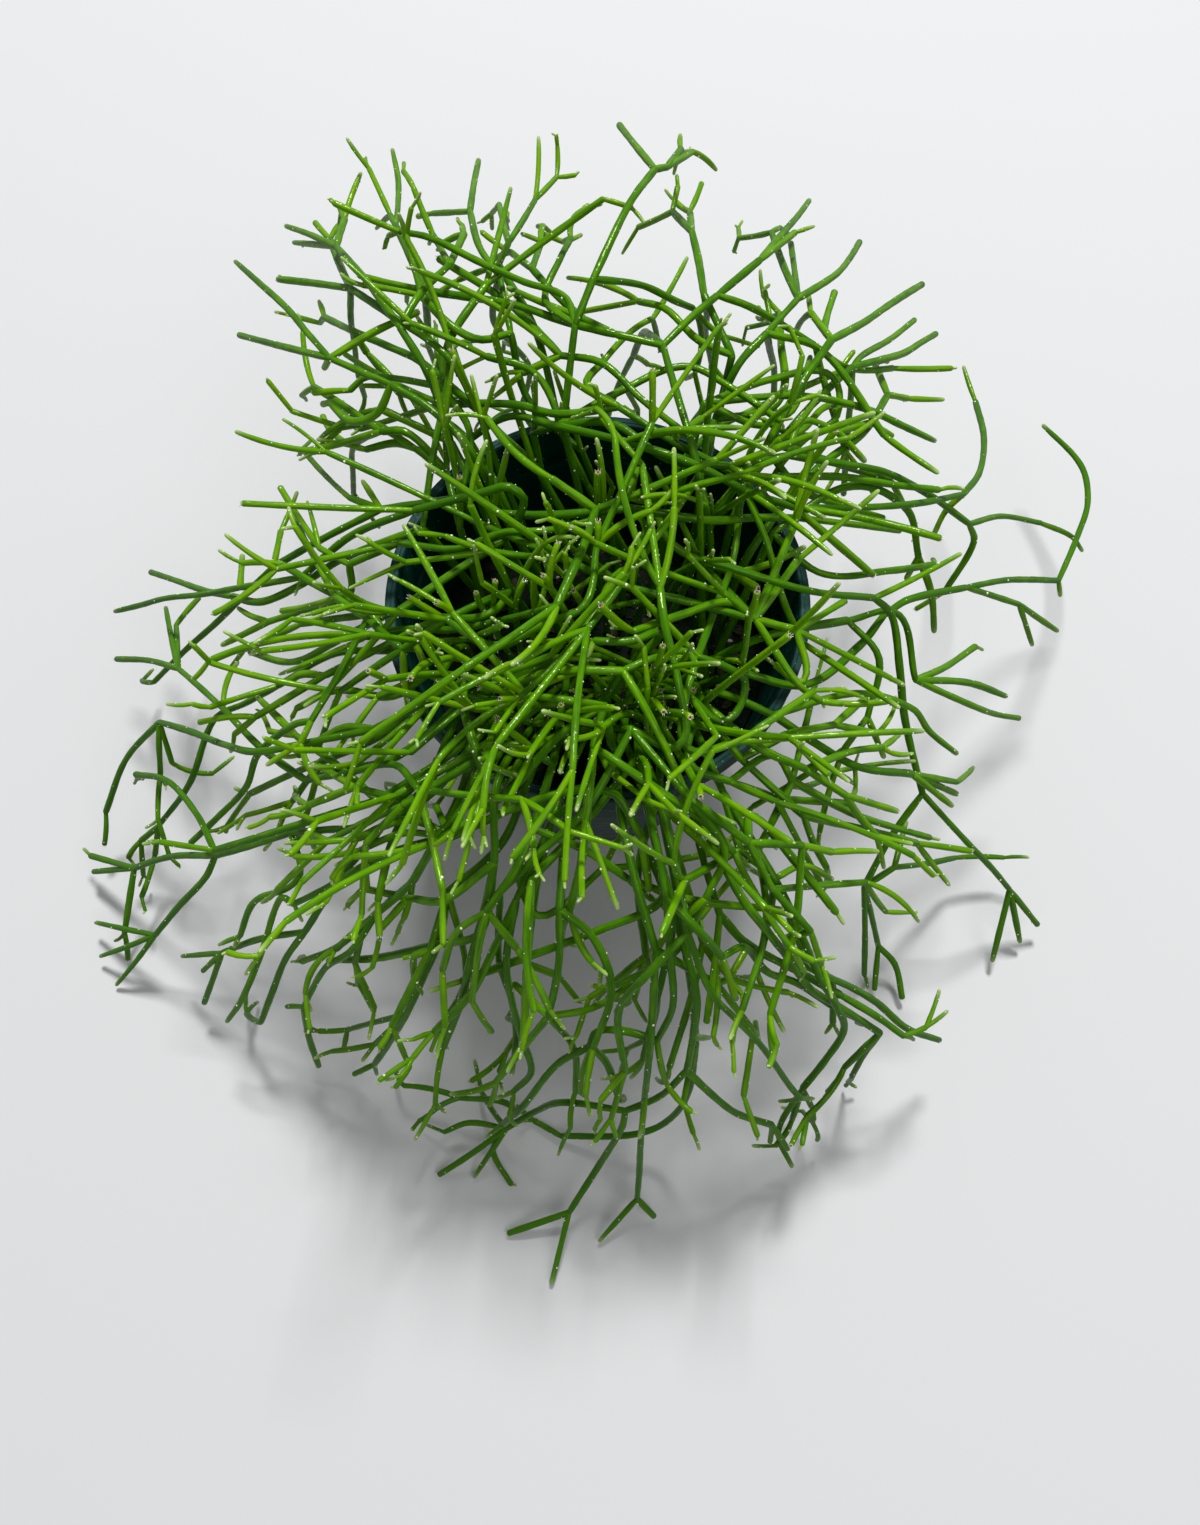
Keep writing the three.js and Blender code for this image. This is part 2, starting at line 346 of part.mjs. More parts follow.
/** The point that a stem climbs to inside the rim, or none if its next point is still inside. */
function climb([x, y], [nextX, nextY]) {
  const [near, far] = [Math.hypot(x, y), Math.hypot(nextX, nextY)];
  if (far < CLIMB_REACH + CLIMB_MARGIN) return [];
  const share = (CLIMB_REACH - near) / (far - near);
  return [[x + (nextX - x) * share, y + (nextY - y) * share, CLIMB_HEIGHT]];
}

Object.values(STEMS).forEach(([root, ...path], stem) => {
  const foot = addKnot(new THREE.Vector3(...root, SOIL_TOP - PLANTED_DEPTH), -1, stem, true);
  const collar = addKnot(new THREE.Vector3(...root, SOIL_TOP + UPRIGHT_LENGTH), foot, stem, true);
  growPath([...climb(root, path[0]), ...path], collar, stem);
});

// ---- clearance: stems that would meet are eased apart, and eased off the pot, soil and surface
const EASE_ROUNDS = 260;
const EASE_SHARE = 0.5;
const SMOOTH_SHARE = 0.12;
const SEARCH_EVERY = 10;
const SEARCH_MARGIN = 9;
const TOO_CLOSE = 1e-6;
const WALL_SAMPLES = [0.25, 0.5, 0.75, 1];
const POT_WALLS = [
  { low: [BASE_RADIUS - WALL / 2, 0], high: [RIM_RADIUS - RIM_BAND_WIDTH, POT_HEIGHT], half: WALL / 2 },
  {
    low: [RIM_RADIUS - RIM_BAND_WIDTH / 2, POT_HEIGHT - RIM_BAND_HEIGHT],
    high: [RIM_RADIUS - RIM_BAND_WIDTH / 2, POT_HEIGHT - RIM_EDGE],
    half: RIM_BAND_WIDTH / 2,
  },
];

const related = (a, b) => a === b || knots[a].parent === b || knots[b].parent === a;
const clamp01 = (value) => Math.min(1, Math.max(0, value));

/** Pairs of stem pieces near enough to meet. A piece is named by the knot at its far end. */
function nearPairs() {
  const pieces = knots.flatMap(({ place, parent }, index) => {
    if (parent < 0) return [];
    const near = knots[parent].place;
    return [{ index, parent, middle: near.clone().lerp(place, 0.5), half: near.distanceTo(place) / 2 }];
  });
  const pairs = [];
  pieces.forEach((one, order) => {
    for (const other of pieces.slice(order + 1)) {
      const reach = one.half + other.half + SEARCH_MARGIN;
      if (one.middle.distanceTo(other.middle) > reach) continue;
      const ends = [one.index, one.parent];
      const joined = ends.some((end) => related(end, other.index) || related(end, other.parent));
      if (!joined) pairs.push([one.index, other.index]);
    }
  });
  return pairs;
}

/** Shares along two pieces, from their near ends, at which the pieces come closest. */
function closestShares(p0, p1, q0, q1) {
  const u = p1.clone().sub(p0);
  const v = q1.clone().sub(q0);
  const w = p0.clone().sub(q0);
  const [a, b, c, d, e] = [u.dot(u), u.dot(v), v.dot(v), u.dot(w), v.dot(w)];
  const flat = a * c - b * b;
  let s = flat > TOO_CLOSE ? clamp01((b * e - c * d) / flat) : 0.5;
  const t = clamp01((b * s + e) / c);
  s = clamp01((b * t - d) / a);
  return [s, t];
}

/** One round of easing: each contact moves the ends of its pieces, and the moves are then smoothed. */
function easeRound(pairs) {
  const moves = knots.map(() => new THREE.Vector3());
  for (const [a, b] of pairs) {
    const [c, d] = [knots[a].parent, knots[b].parent];
    const [s, t] = closestShares(knots[c].place, knots[a].place, knots[d].place, knots[b].place);
    const spot = knots[c].place.clone().lerp(knots[a].place, s);
    const other = knots[d].place.clone().lerp(knots[b].place, t);
    const away = spot.sub(other);
    const distance = away.length();
    const wanted = (knots[a].radius + knots[b].radius) * FACET_GROWTH + STEM_CLEARANCE;
    if (distance >= wanted || distance < TOO_CLOSE) continue;
    away.multiplyScalar(((wanted - distance) / distance) * EASE_SHARE);
    moves[a].addScaledVector(away, s);
    moves[c].addScaledVector(away, 1 - s);
    moves[b].addScaledVector(away, -t);
    moves[d].addScaledVector(away, t - 1);
  }
  knots.forEach((knot, index) => {
    if (knot.parent < 0) return;
    const from = knots[knot.parent].place;
    for (const share of WALL_SAMPLES) {
      const spot = from.clone().lerp(knot.place, share);
      const rho = Math.hypot(spot.x, spot.y);
      const push = new THREE.Vector3();
      for (const { low, high, half } of POT_WALLS) {
        const [lean, rise] = [high[0] - low[0], high[1] - low[1]];
        const climbed = (rho - low[0]) * lean + (spot.z - low[1]) * rise;
        const level = clamp01(climbed / (lean * lean + rise * rise));
        const [out, up] = [rho - low[0] - lean * level, spot.z - low[1] - rise * level];
        const distance = Math.hypot(out, up);
        const wanted = half + knot.radius * FACET_GROWTH + WALL_CLEARANCE;
        if (distance >= wanted || distance < TOO_CLOSE) continue;
        const scale = (wanted - distance) / distance;
        push.x += (spot.x / rho) * out * scale;
        push.y += (spot.y / rho) * out * scale;
        push.z += up * scale;
      }
      const floor = knot.radius * FACET_GROWTH + FLOOR_CLEARANCE;
      if (spot.z < floor) push.z += floor - spot.z;
      moves[index].addScaledVector(push, EASE_SHARE * share);
      moves[knot.parent].addScaledVector(push, EASE_SHARE * (1 - share));
    }
  });
  knots.forEach((knot, index) => {
    if (!knot.fixed) knot.place.add(moves[index]);
  });
  const shifts = knots.map((knot) => knot.place.clone().sub(knot.start));
  const sums = knots.map(() => new THREE.Vector3());
  const counts = knots.map(() => 0);
  knots.forEach((knot, index) => {
    if (knot.parent < 0) return;
    sums[index].add(shifts[knot.parent]);
    sums[knot.parent].add(shifts[index]);
    counts[index] += 1;
    counts[knot.parent] += 1;
  });
  knots.forEach((knot, index) => {
    if (knot.fixed) return;
    const mean = sums[index].divideScalar(counts[index]);
    knot.place.copy(knot.start).add(shifts[index].lerp(mean, SMOOTH_SHARE));
  });
}

let pairs = [];
for (let round = 0; round < EASE_ROUNDS; round += 1) {
  if (round % SEARCH_EVERY === 0) pairs = nearPairs();
  easeRound(pairs);
}

// ---- solids
const wasm = await Module();
wasm.setup();
const MERGE_DISTANCE = 1e-4;
const SEAM_HINT = [1, 0.3, 0.1];

/** A manifold solid from a closed geometry. */
function toSolid(geometry) {
  const bare = geometry.clone();
  bare.deleteAttribute('normal');
  bare.deleteAttribute('uv');
  const merged = mergeVertices(bare, MERGE_DISTANCE);
  return new wasm.Manifold(new wasm.Mesh({
    numProp: 3,
    vertProperties: new Float32Array(merged.attributes.position.array),
    triVerts: new Uint32Array(merged.index.array),
  }));
}

/** A geometry from a manifold solid. */
function toGeometry(solid) {
  const { vertProperties, triVerts } = solid.getMesh();
  const geometry = new THREE.BufferGeometry();
  geometry.setAttribute('position', new THREE.BufferAttribute(new Float32Array(vertProperties), 3));
  geometry.setIndex(new THREE.BufferAttribute(new Uint32Array(triVerts), 1));
  geometry.computeVertexNormals();
  return geometry;
}

/** A lathe about +Z of [radius, height] points, which start and end on the axis. */
function lathe(points, sides) {
  const geometry = new THREE.LatheGeometry(points.map(([r, z]) => new THREE.Vector2(r, z)), sides);
  geometry.rotateX(Math.PI / 2);
  return geometry;
}

/** An upright prism with a regular outline. */
function prism(radius, low, high, sides, x, y) {
  const geometry = new THREE.CylinderGeometry(radius, radius, high - low, sides);
  geometry.rotateX(Math.PI / 2);
  geometry.translate(x, y, (low + high) / 2);
  return geometry;
}

/** A closed tube through knots, with flat ends and a ring of STEM_SIDES corners at each knot. */
function tube(chain) {
  const positions = [];
  let side = new THREE.Vector3(...SEAM_HINT);
  chain.forEach((knot, index) => {
    const before = chain[Math.max(index - 1, 0)].place;
    const after = chain[Math.min(index + 1, chain.length - 1)].place;
    const ahead = after.clone().sub(before).normalize();
    side = side.clone().addScaledVector(ahead, -side.dot(ahead)).normalize();
    const across = ahead.clone().cross(side);
    for (let corner = 0; corner < STEM_SIDES; corner += 1) {
      const angle = (corner / STEM_SIDES) * 2 * Math.PI;
      const point = knot.place.clone()
        .addScaledVector(side, Math.cos(angle) * knot.radius * FACET_GROWTH)
        .addScaledVector(across, Math.sin(angle) * knot.radius * FACET_GROWTH);
      positions.push(point.x, point.y, point.z);
    }
  });
  const faces = [];
  const last = (chain.length - 1) * STEM_SIDES;
  for (let corner = 0; corner < STEM_SIDES; corner += 1) {
    const next = (corner + 1) % STEM_SIDES;
    for (let ring = 0; ring < last; ring += STEM_SIDES) {
      faces.push(ring + corner, ring + next, ring + STEM_SIDES + corner);
      faces.push(ring + next, ring + STEM_SIDES + next, ring + STEM_SIDES + corner);
    }
    if (corner > 0 && corner < STEM_SIDES - 1) {
      faces.push(0, next, corner);
      faces.push(last, last + corner, last + next);
    }
  }
  const geometry = new THREE.BufferGeometry();
  geometry.setAttribute('position', new THREE.BufferAttribute(new Float32Array(positions), 3));
  geometry.setIndex(faces);
  return geometry;
}

/** A stem: its chains of knots as tubes, joined where a branch leaves another chain. */
function stemGeometry(stem) {
  const taken = new Set();
  let solid = null;
  knots.forEach((knot, index) => {
    if (knot.stem !== stem || taken.has(index) || knot.parent < 0) return;
    const chain = [knots[knot.parent], knot];
    taken.add(index);
    let end = index;
    for (let next = nextOnLine(end, taken); next > 0; next = nextOnLine(end, taken)) {
      chain.push(knots[next]);
      taken.add(next);
      end = next;
    }
    const piece = toSolid(tube(chain));
    solid = solid ? solid.add(piece) : piece;
  });
  return toGeometry(solid);
}

/** The knot that carries a chain on: the child that was grown straight after its parent. */
function nextOnLine(index, taken) {
  const next = index + 1;
  const follows = next < knots.length && knots[next].parent === index;
  return follows && !taken.has(next) ? next : -1;
}

/** The pot: a tapered wall under a thicker rim band, with a ring of drainage holes in its base. */
function potGeometry() {
  const bandInside = RIM_RADIUS - RIM_BAND_WIDTH;
  const bandFoot = POT_HEIGHT - RIM_BAND_HEIGHT;
  const wallTop = bandInside + WALL;
  const outline = [
    [0, 0],
    [BASE_RADIUS - RIM_EDGE, 0],
    [BASE_RADIUS, RIM_EDGE],
    [wallTop, bandFoot],
    [RIM_RADIUS - RIM_EDGE / 2, bandFoot + RIM_EDGE],
    [RIM_RADIUS, POT_HEIGHT - RIM_EDGE],
    [RIM_RADIUS - RIM_EDGE, POT_HEIGHT],
    [bandInside + RIM_EDGE / 2, POT_HEIGHT],
    [bandInside, POT_HEIGHT - RIM_EDGE],
    [BASE_RADIUS - WALL, WALL],
    [0, WALL],
  ];
  let solid = toSolid(lathe(outline, POT_SIDES));
  for (let hole = 0; hole < DRAIN_HOLES; hole += 1) {
    const angle = (hole / DRAIN_HOLES) * 2 * Math.PI;
    const [x, y] = [DRAIN_CIRCLE * Math.cos(angle), DRAIN_CIRCLE * Math.sin(angle)];
    const hollow = prism(DRAIN_HOLE_RADIUS, -CUT_MARGIN, WALL + CUT_MARGIN, DRAIN_HOLE_SIDES, x, y);
    solid = solid.subtract(toSolid(hollow));
  }
  return toGeometry(solid);
}

/** The soil: fills the pot to SOIL_TOP, with a socket for the foot of each stem. */
function soilGeometry() {
  const lean = (RIM_RADIUS - RIM_BAND_WIDTH - BASE_RADIUS + WALL) / (POT_HEIGHT - RIM_EDGE - WALL);
  const innerRadius = (z) => BASE_RADIUS - WALL + lean * (z - WALL);
  const low = WALL + GAP;
  const edge = SOIL_TOP - SOIL_DOME;
  const outline = [
    [0, low],
    [innerRadius(low) - 2 * GAP, low],
    [innerRadius(edge) - 2 * GAP, edge],
    [innerRadius(SOIL_TOP) - SOIL_SHOULDER, SOIL_TOP],
    [0, SOIL_TOP],
  ];
  let solid = toSolid(lathe(outline, SOIL_SIDES));
  const foot = SOIL_TOP - PLANTED_DEPTH - GAP;
  const socketRadius = (STEM_BASE_RADIUS * FACET_GROWTH + GAP) / Math.cos(Math.PI / SOCKET_SIDES);
  for (const [[x, y]] of Object.values(STEMS)) {
    const socket = prism(socketRadius, foot, SOIL_TOP + CUT_MARGIN, SOCKET_SIDES, x, y);
    solid = solid.subtract(toSolid(socket));
  }
  return toGeometry(solid);
}

// ---- the model
const material = (color, roughness) => new THREE.MeshStandardMaterial({ color, roughness, metalness: 0 });

const cactus = new THREE.Group();

/** Adds a named mesh to the model. */
function addMesh(name, geometry, finish) {
  const mesh = new THREE.Mesh(geometry, finish);
  mesh.name = name;
  cactus.add(mesh);
}

addMesh('pot', potGeometry(), material(0x16332c, 0.4));
addMesh('soil', soilGeometry(), material(0x1b1712, 0.95));
Object.keys(STEMS).forEach((name, stem) => addMesh(name, stemGeometry(stem), material(0x4e8a1e, 0.42)));

export default cactus;
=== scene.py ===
# %% [markdown]
# # A mistletoe cactus in its nursery pot
#
# The plant is a trailing cactus: dozens of thin, round, leafless stems rise from one pot, arch over
# its rim and hang down around it. Each stem is a chain of joints, as long as a finger or as short
# as a fingernail, and every joint grows from the end of an older one. This lesson builds the pot,
# the potting mix and then the stems, joint by joint, around a model whose sizes are already fixed.

# %% Load the fixed frame and note its size
import json
import math
import random

import bmesh
import bpy
import numpy as np
from mathutils import Matrix, Vector, noise

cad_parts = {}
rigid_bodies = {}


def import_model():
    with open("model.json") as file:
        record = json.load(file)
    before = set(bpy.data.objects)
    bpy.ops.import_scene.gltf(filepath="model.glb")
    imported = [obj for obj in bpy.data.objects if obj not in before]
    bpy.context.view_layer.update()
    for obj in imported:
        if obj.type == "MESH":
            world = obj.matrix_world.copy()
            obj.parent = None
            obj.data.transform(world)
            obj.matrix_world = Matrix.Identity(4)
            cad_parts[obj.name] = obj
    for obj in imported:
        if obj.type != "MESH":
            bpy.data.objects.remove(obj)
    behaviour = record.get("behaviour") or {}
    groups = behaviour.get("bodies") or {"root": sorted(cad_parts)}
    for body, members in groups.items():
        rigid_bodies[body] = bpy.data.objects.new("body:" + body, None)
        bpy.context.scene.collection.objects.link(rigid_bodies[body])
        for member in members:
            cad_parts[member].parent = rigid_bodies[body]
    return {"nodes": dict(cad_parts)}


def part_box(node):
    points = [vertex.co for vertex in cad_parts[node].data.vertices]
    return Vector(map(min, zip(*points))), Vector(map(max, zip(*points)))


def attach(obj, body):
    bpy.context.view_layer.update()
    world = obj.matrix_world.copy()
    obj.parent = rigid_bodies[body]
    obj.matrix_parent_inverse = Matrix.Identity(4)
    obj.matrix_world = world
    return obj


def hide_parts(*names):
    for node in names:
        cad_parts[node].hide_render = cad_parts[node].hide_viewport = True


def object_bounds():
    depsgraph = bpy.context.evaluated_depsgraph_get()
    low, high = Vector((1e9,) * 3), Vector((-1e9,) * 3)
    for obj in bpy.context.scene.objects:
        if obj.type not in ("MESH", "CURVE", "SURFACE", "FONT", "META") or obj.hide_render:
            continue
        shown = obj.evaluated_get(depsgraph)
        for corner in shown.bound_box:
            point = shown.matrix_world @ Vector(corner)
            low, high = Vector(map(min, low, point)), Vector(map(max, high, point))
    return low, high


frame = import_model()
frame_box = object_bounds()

MM = 0.001
scene = bpy.context.scene
print("frame:", len(frame["nodes"]), "pieces, box", frame_box)


# %% [markdown]
# Every finish below is written with the same few tools. Colours are chosen as sRGB hex values, as
# in a paint program, but Blender's shaders work in linear light, so one function converts them.
# One more adds a shader node, sets it up and wires it, so that a material reads as a short list of
# steps, and the last of them is connected to the material's one Principled shader.

# %% Colour and shader helpers
def linear(hex_colour):
    """An sRGB hex colour as linear red, green, blue and alpha."""
    channels = [int(hex_colour[place:place + 2], 16) / 255 for place in (1, 3, 5)]
    return [c / 12.92 if c <= 0.04045 else ((c + 0.055) / 1.055) ** 2.4 for c in channels] + [1.0]


def connect(material, node, inputs):
    """Sets each input of a node, given by name or number, or links it if its value is an output."""
    for socket, value in inputs.items():
        if isinstance(value, bpy.types.NodeSocket):
            material.node_tree.links.new(value, node.inputs[socket])
        else:
            node.inputs[socket].default_value = value


def add(material, kind, inputs, output=0, stops=None, **settings):
    """Adds a shader node with its settings and links, and returns one of its outputs.

    The stops of a colour ramp are given as {position: hex colour}.
    """
    node = material.node_tree.nodes.new(kind)
    for name, value in settings.items():
        setattr(node, name, value)
    if stops:
        while len(node.color_ramp.elements) < len(stops):
            node.color_ramp.elements.new(0.5)
        for element, place in zip(node.color_ramp.elements, sorted(stops)):
            element.position = place
            element.color = linear(stops[place])
    connect(material, node, inputs)
    return node.outputs[output]


def new_material(name, values):
    """A material with one Principled shader. Returns both, the shader with its plain values set."""
    material = bpy.data.materials.new(name)
    material.use_nodes = True
    shader = material.node_tree.nodes["Principled BSDF"]
    connect(material, shader, values)
    return material, shader


# %% [markdown]
# The camera looks down on the plant from the front, 18 degrees off the vertical, from 46 cm away:
# close enough for the crown of the plant to look bigger than the ends that trail on the table.

# %% Camera
# The picture is taller than wide, so the sensor's size spans its height. The camera's place is in
# mm, and its pitch in degrees below the horizontal.
IMAGE_HEIGHT = 1525
FOCAL_PIXELS = 1200
SENSOR_SIZE = 36
CAMERA_PLACE, CAMERA_PITCH = (0.7, -159.6, 439.1), 71.58
camera_data = bpy.data.cameras.new("camera")
camera_data.sensor_width = SENSOR_SIZE
camera_data.lens = FOCAL_PIXELS * SENSOR_SIZE / IMAGE_HEIGHT
camera = bpy.data.objects.new("camera", camera_data)
camera.location = Vector(CAMERA_PLACE) * MM
camera.rotation_euler = (math.radians(90 - CAMERA_PITCH), 0, 0)
scene.collection.objects.link(camera)
scene.camera = camera
print("camera: lens", round(camera_data.lens, 2), "mm")

# %% [markdown]
# A plain pale table and soft daylight. The world gives a dim light from all around. A small, strong
# panel high behind the plant stands for a window: it draws the narrow white highlights along the
# stems and throws their shadows forward. A weak panel in front opens the shaded side. The table is
# kept out of reflections, because a big white sheet mirrored in thin stems makes them look grey.

# %% Floor
FLOOR_SIZE = 6.0
floor_mesh = bmesh.new()
bmesh.ops.create_grid(floor_mesh, x_segments=1, y_segments=1, size=FLOOR_SIZE / 2)
floor_data = bpy.data.meshes.new("floor")
floor_mesh.to_mesh(floor_data)
floor_mesh.free()
floor = bpy.data.objects.new("floor", floor_data)
scene.collection.objects.link(floor)
# Matt wall paint: chalky, with no shine at all.
paint, shader = new_material("matt white paint", {
    "Base Color": linear("#d0d1d2"), "Roughness": 0.95, "Specular IOR Level": 0.1,
})
floor_data.materials.append(paint)
floor.visible_glossy = False
print("floor:", FLOOR_SIZE, "m square")

# %% Sky and lights
SKY_STRENGTH = 0.28
PLANT_HEART = (0, 0, 0.1)
world = bpy.data.worlds.new("overcast sky")
world.use_nodes = True
sky = world.node_tree.nodes["Background"]
sky.inputs["Color"].default_value = linear("#fafafa")
sky.inputs["Strength"].default_value = SKY_STRENGTH
scene.world = world
scene.view_settings.view_transform = "Standard"


def panel_light(name, place, size, power):
    """A square area light that faces the plant. Its place and size in metres, its power in watts."""
    data = bpy.data.lights.new(name, "AREA")
    data.shape = "SQUARE"
    data.size = size
    data.energy = power
    light = bpy.data.objects.new(name, data)
    light.location = place
    light.rotation_euler = (Vector(PLANT_HEART) - Vector(place)).to_track_quat("-Z", "Y").to_euler()
    scene.collection.objects.link(light)
    print("light:", name, power, "W")


panel_light("window panel", place=(0.15, 1.5, 2.5), size=0.42, power=83)
panel_light("fill panel", place=(0.5, -0.6, 1.4), size=0.8, power=5)

# %% [markdown]
# A nursery pot is a thin cup of moulded polypropylene. A potter's wheel is the easy way to such a
# shape: draw half of its outline and spin it about the axis. The outline runs from the middle of
# the base, out and up the outside to the rim, over the flat lip and down the inside. A Bevel
# modifier then gives the corners the small rounding that comes from the mould.

# %% Pot: measures and helpers
RIM_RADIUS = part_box("pot")[1].x / MM
POT_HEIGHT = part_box("pot")[1].z / MM
BASE_RADIUS, WALL = 45, 1.4
RIM_BAND_HEIGHT, RIM_BAND_WIDTH, RIM_EDGE = 10, 3.2, 1
MERGE_DISTANCE = 0.001


def wall_radius(height):
    """The inner radius of the plain tapered wall, in mm, at a height above the table."""
    low, high = BASE_RADIUS - WALL, RIM_RADIUS - RIM_BAND_WIDTH
    return low + (high - low) * (height - WALL) / (POT_HEIGHT - RIM_EDGE - WALL)


def finish_mesh(shape, name, smooth_angle=40):
    """Turns a bmesh into an object with its faces pointing outwards.

    It shades smoothly, but for the edges that bend by more than the angle, in degrees.
    """
    data = bpy.data.meshes.new(name)
    bmesh.ops.recalc_face_normals(shape, faces=shape.faces)
    shape.to_mesh(data)
    shape.free()
    data.polygons.foreach_set("use_smooth", [True] * len(data.polygons))
    if smooth_angle < 180:
        data.set_sharp_from_angle(angle=math.radians(smooth_angle))
    piece = bpy.data.objects.new(name, data)
    scene.collection.objects.link(piece)
    return piece


def spin_outline(outline, sides):
    """A closed bmesh from a half outline of (radius, height) in mm that starts and ends on the axis."""
    shape = bmesh.new()
    corners = [shape.verts.new((radius * MM, 0, height * MM)) for radius, height in outline]
    edges = [shape.edges.new(pair) for pair in zip(corners, corners[1:])]
    bmesh.ops.spin(
        shape, geom=corners + edges, cent=(0, 0, 0), axis=(0, 0, 1),
        angle=2 * math.pi, steps=sides, use_merge=True,
    )
    bmesh.ops.remove_doubles(shape, verts=shape.verts, dist=MERGE_DISTANCE * MM)
    return shape


# %% Pot: spin the outline
# The outer wall has a drip step near its foot, the inner wall a ledge that stacked pots rest on,
# and the lip a fine line. The rim's rounded corners are given as shares of RIM_EDGE.
STEP_HEIGHT, STEP_WIDTH = 13, 0.6
LEDGE_DEPTH, LEDGE_HEIGHT, LEDGE_OUT, LEDGE_IN = 17, 0.8, 0.4, 0.2
LIP_LINE, LIP_LINE_SHARE = 0.22, 0.62
POT_SIDES = 128
band_inside = RIM_RADIUS - RIM_BAND_WIDTH
band_foot = POT_HEIGHT - RIM_BAND_HEIGHT
ledge = POT_HEIGHT - LEDGE_DEPTH
lip_line_radius = RIM_RADIUS - LIP_LINE_SHARE * RIM_BAND_WIDTH
outline = [
    (0, 0),
    (BASE_RADIUS - RIM_EDGE, 0),
    (BASE_RADIUS, RIM_EDGE),
    (wall_radius(STEP_HEIGHT) + WALL - STEP_WIDTH, STEP_HEIGHT),
    (wall_radius(STEP_HEIGHT) + WALL, STEP_HEIGHT + STEP_WIDTH),
    (wall_radius(band_foot) + WALL, band_foot),
    (RIM_RADIUS - RIM_EDGE * 0.6, band_foot),
    (RIM_RADIUS - RIM_EDGE * 0.3, band_foot + RIM_EDGE * 0.8),
    (RIM_RADIUS - RIM_EDGE * 0.2, POT_HEIGHT - RIM_EDGE * 1.6),
    (RIM_RADIUS, POT_HEIGHT - RIM_EDGE * 1.3),
    (RIM_RADIUS, POT_HEIGHT - RIM_EDGE * 0.4),
    (RIM_RADIUS - RIM_EDGE * 0.4, POT_HEIGHT),
    (RIM_RADIUS - RIM_EDGE * 0.9, POT_HEIGHT - LIP_LINE),
    (lip_line_radius + 2 * LIP_LINE, POT_HEIGHT - LIP_LINE),
    (lip_line_radius + LIP_LINE, POT_HEIGHT),
    (lip_line_radius, POT_HEIGHT - LIP_LINE),
    (band_inside + RIM_EDGE * 0.5, POT_HEIGHT - LIP_LINE),
    (band_inside, POT_HEIGHT - RIM_EDGE),
    (wall_radius(ledge) + LEDGE_OUT, ledge),
    (wall_radius(ledge) - LEDGE_IN, ledge - LEDGE_HEIGHT),
    (BASE_RADIUS - WALL, WALL),
    (0, WALL),
]
pot = finish_mesh(spin_outline(outline, POT_SIDES), "nursery_pot")
print("pot: rim", round(2 * RIM_RADIUS, 1), "mm across,", round(POT_HEIGHT, 1), "mm high")

# %% [markdown]
# Water leaves through a ring of round holes in the base. They are cut with a Boolean modifier, as
# a punch would cut them, and the modifiers are then applied so that the pot is one plain mesh.

# %% Pot: drainage holes and rounded corners
DRAIN_HOLES, DRAIN_HOLE_RADIUS, DRAIN_CIRCLE = 8, 4, 35
PUNCH_SIDES, PUNCH_LENGTH = 32, 6
CORNER_RADIUS, CORNER_ANGLE = 0.18, 28
punches = bmesh.new()
for hole in range(DRAIN_HOLES):
    angle = 2 * math.pi * hole / DRAIN_HOLES
    place = Matrix.Translation(Vector((math.cos(angle), math.sin(angle), 0)) * DRAIN_CIRCLE * MM)
    bmesh.ops.create_cone(
        punches, cap_ends=True, segments=PUNCH_SIDES, radius1=DRAIN_HOLE_RADIUS * MM,
        radius2=DRAIN_HOLE_RADIUS * MM, depth=PUNCH_LENGTH * MM, matrix=place,
    )
punch = finish_mesh(punches, "punch")


def apply_modifiers(piece):
    """Replaces a piece's mesh by the one that its modifiers make."""
    evaluated = piece.evaluated_get(bpy.context.evaluated_depsgraph_get())
    data = bpy.data.meshes.new_from_object(evaluated)
    piece.modifiers.clear()
    old, piece.data = piece.data, data
    data.name = old.name
    bpy.data.meshes.remove(old)


cut = pot.modifiers.new("drainage holes", "BOOLEAN")
cut.object = punch
cut.solver = "EXACT"
rounding = pot.modifiers.new("moulded corners", "BEVEL")
rounding.width = CORNER_RADIUS * MM
rounding.segments = 2
rounding.limit_method = "ANGLE"
rounding.angle_limit = math.radians(CORNER_ANGLE)
apply_modifiers(pot)
bpy.data.objects.remove(punch)
print("pot:", len(pot.data.polygons), "faces")

# %% [markdown]
# The plastic is dark bluish green polypropylene. Fresh from the mould it is satin, but handling and
# a film of dust have made it dull, so only the faintest sheen is left. The top of the lip is paler:
# a painted highlight, where the light falls on it.
# Watering splashes small lime specks on it, most of them near the rim.

# %% Pot: worn moulded polypropylene, its lime specks
# Each speck has a cell of the pattern to itself, and fills about a third of the cell's width.
SPECK_SIZE, SPECK_OF_CELL, SPECK_EDGE = 0.6 * MM, 0.35, (0.10, 0.16)
SPECK_SHARE = 0.28
SPLASH_LOW, SPLASH_HIGH = (POT_HEIGHT - 45) * MM, (POT_HEIGHT - 12) * MM
SPLASH_FAINT, SPLASH_STRONG = 0.08, 0.8
plastic, shader = new_material("worn moulded polypropylene", {"IOR": 1.49, "Specular IOR Level": 0.08})
place = add(plastic, "ShaderNodeTexCoord", {}, "Object")
height = add(plastic, "ShaderNodeSeparateXYZ", {0: place}, "Z")
specks = {"Vector": place, "Scale": SPECK_OF_CELL / SPECK_SIZE, "Randomness": 1.0}
speck = add(plastic, "ShaderNodeMapRange", {
    "Value": add(plastic, "ShaderNodeTexVoronoi", specks, "Distance"),
    "From Min": SPECK_EDGE[0], "From Max": SPECK_EDGE[1], "To Min": 1.0, "To Max": 0.0,
})
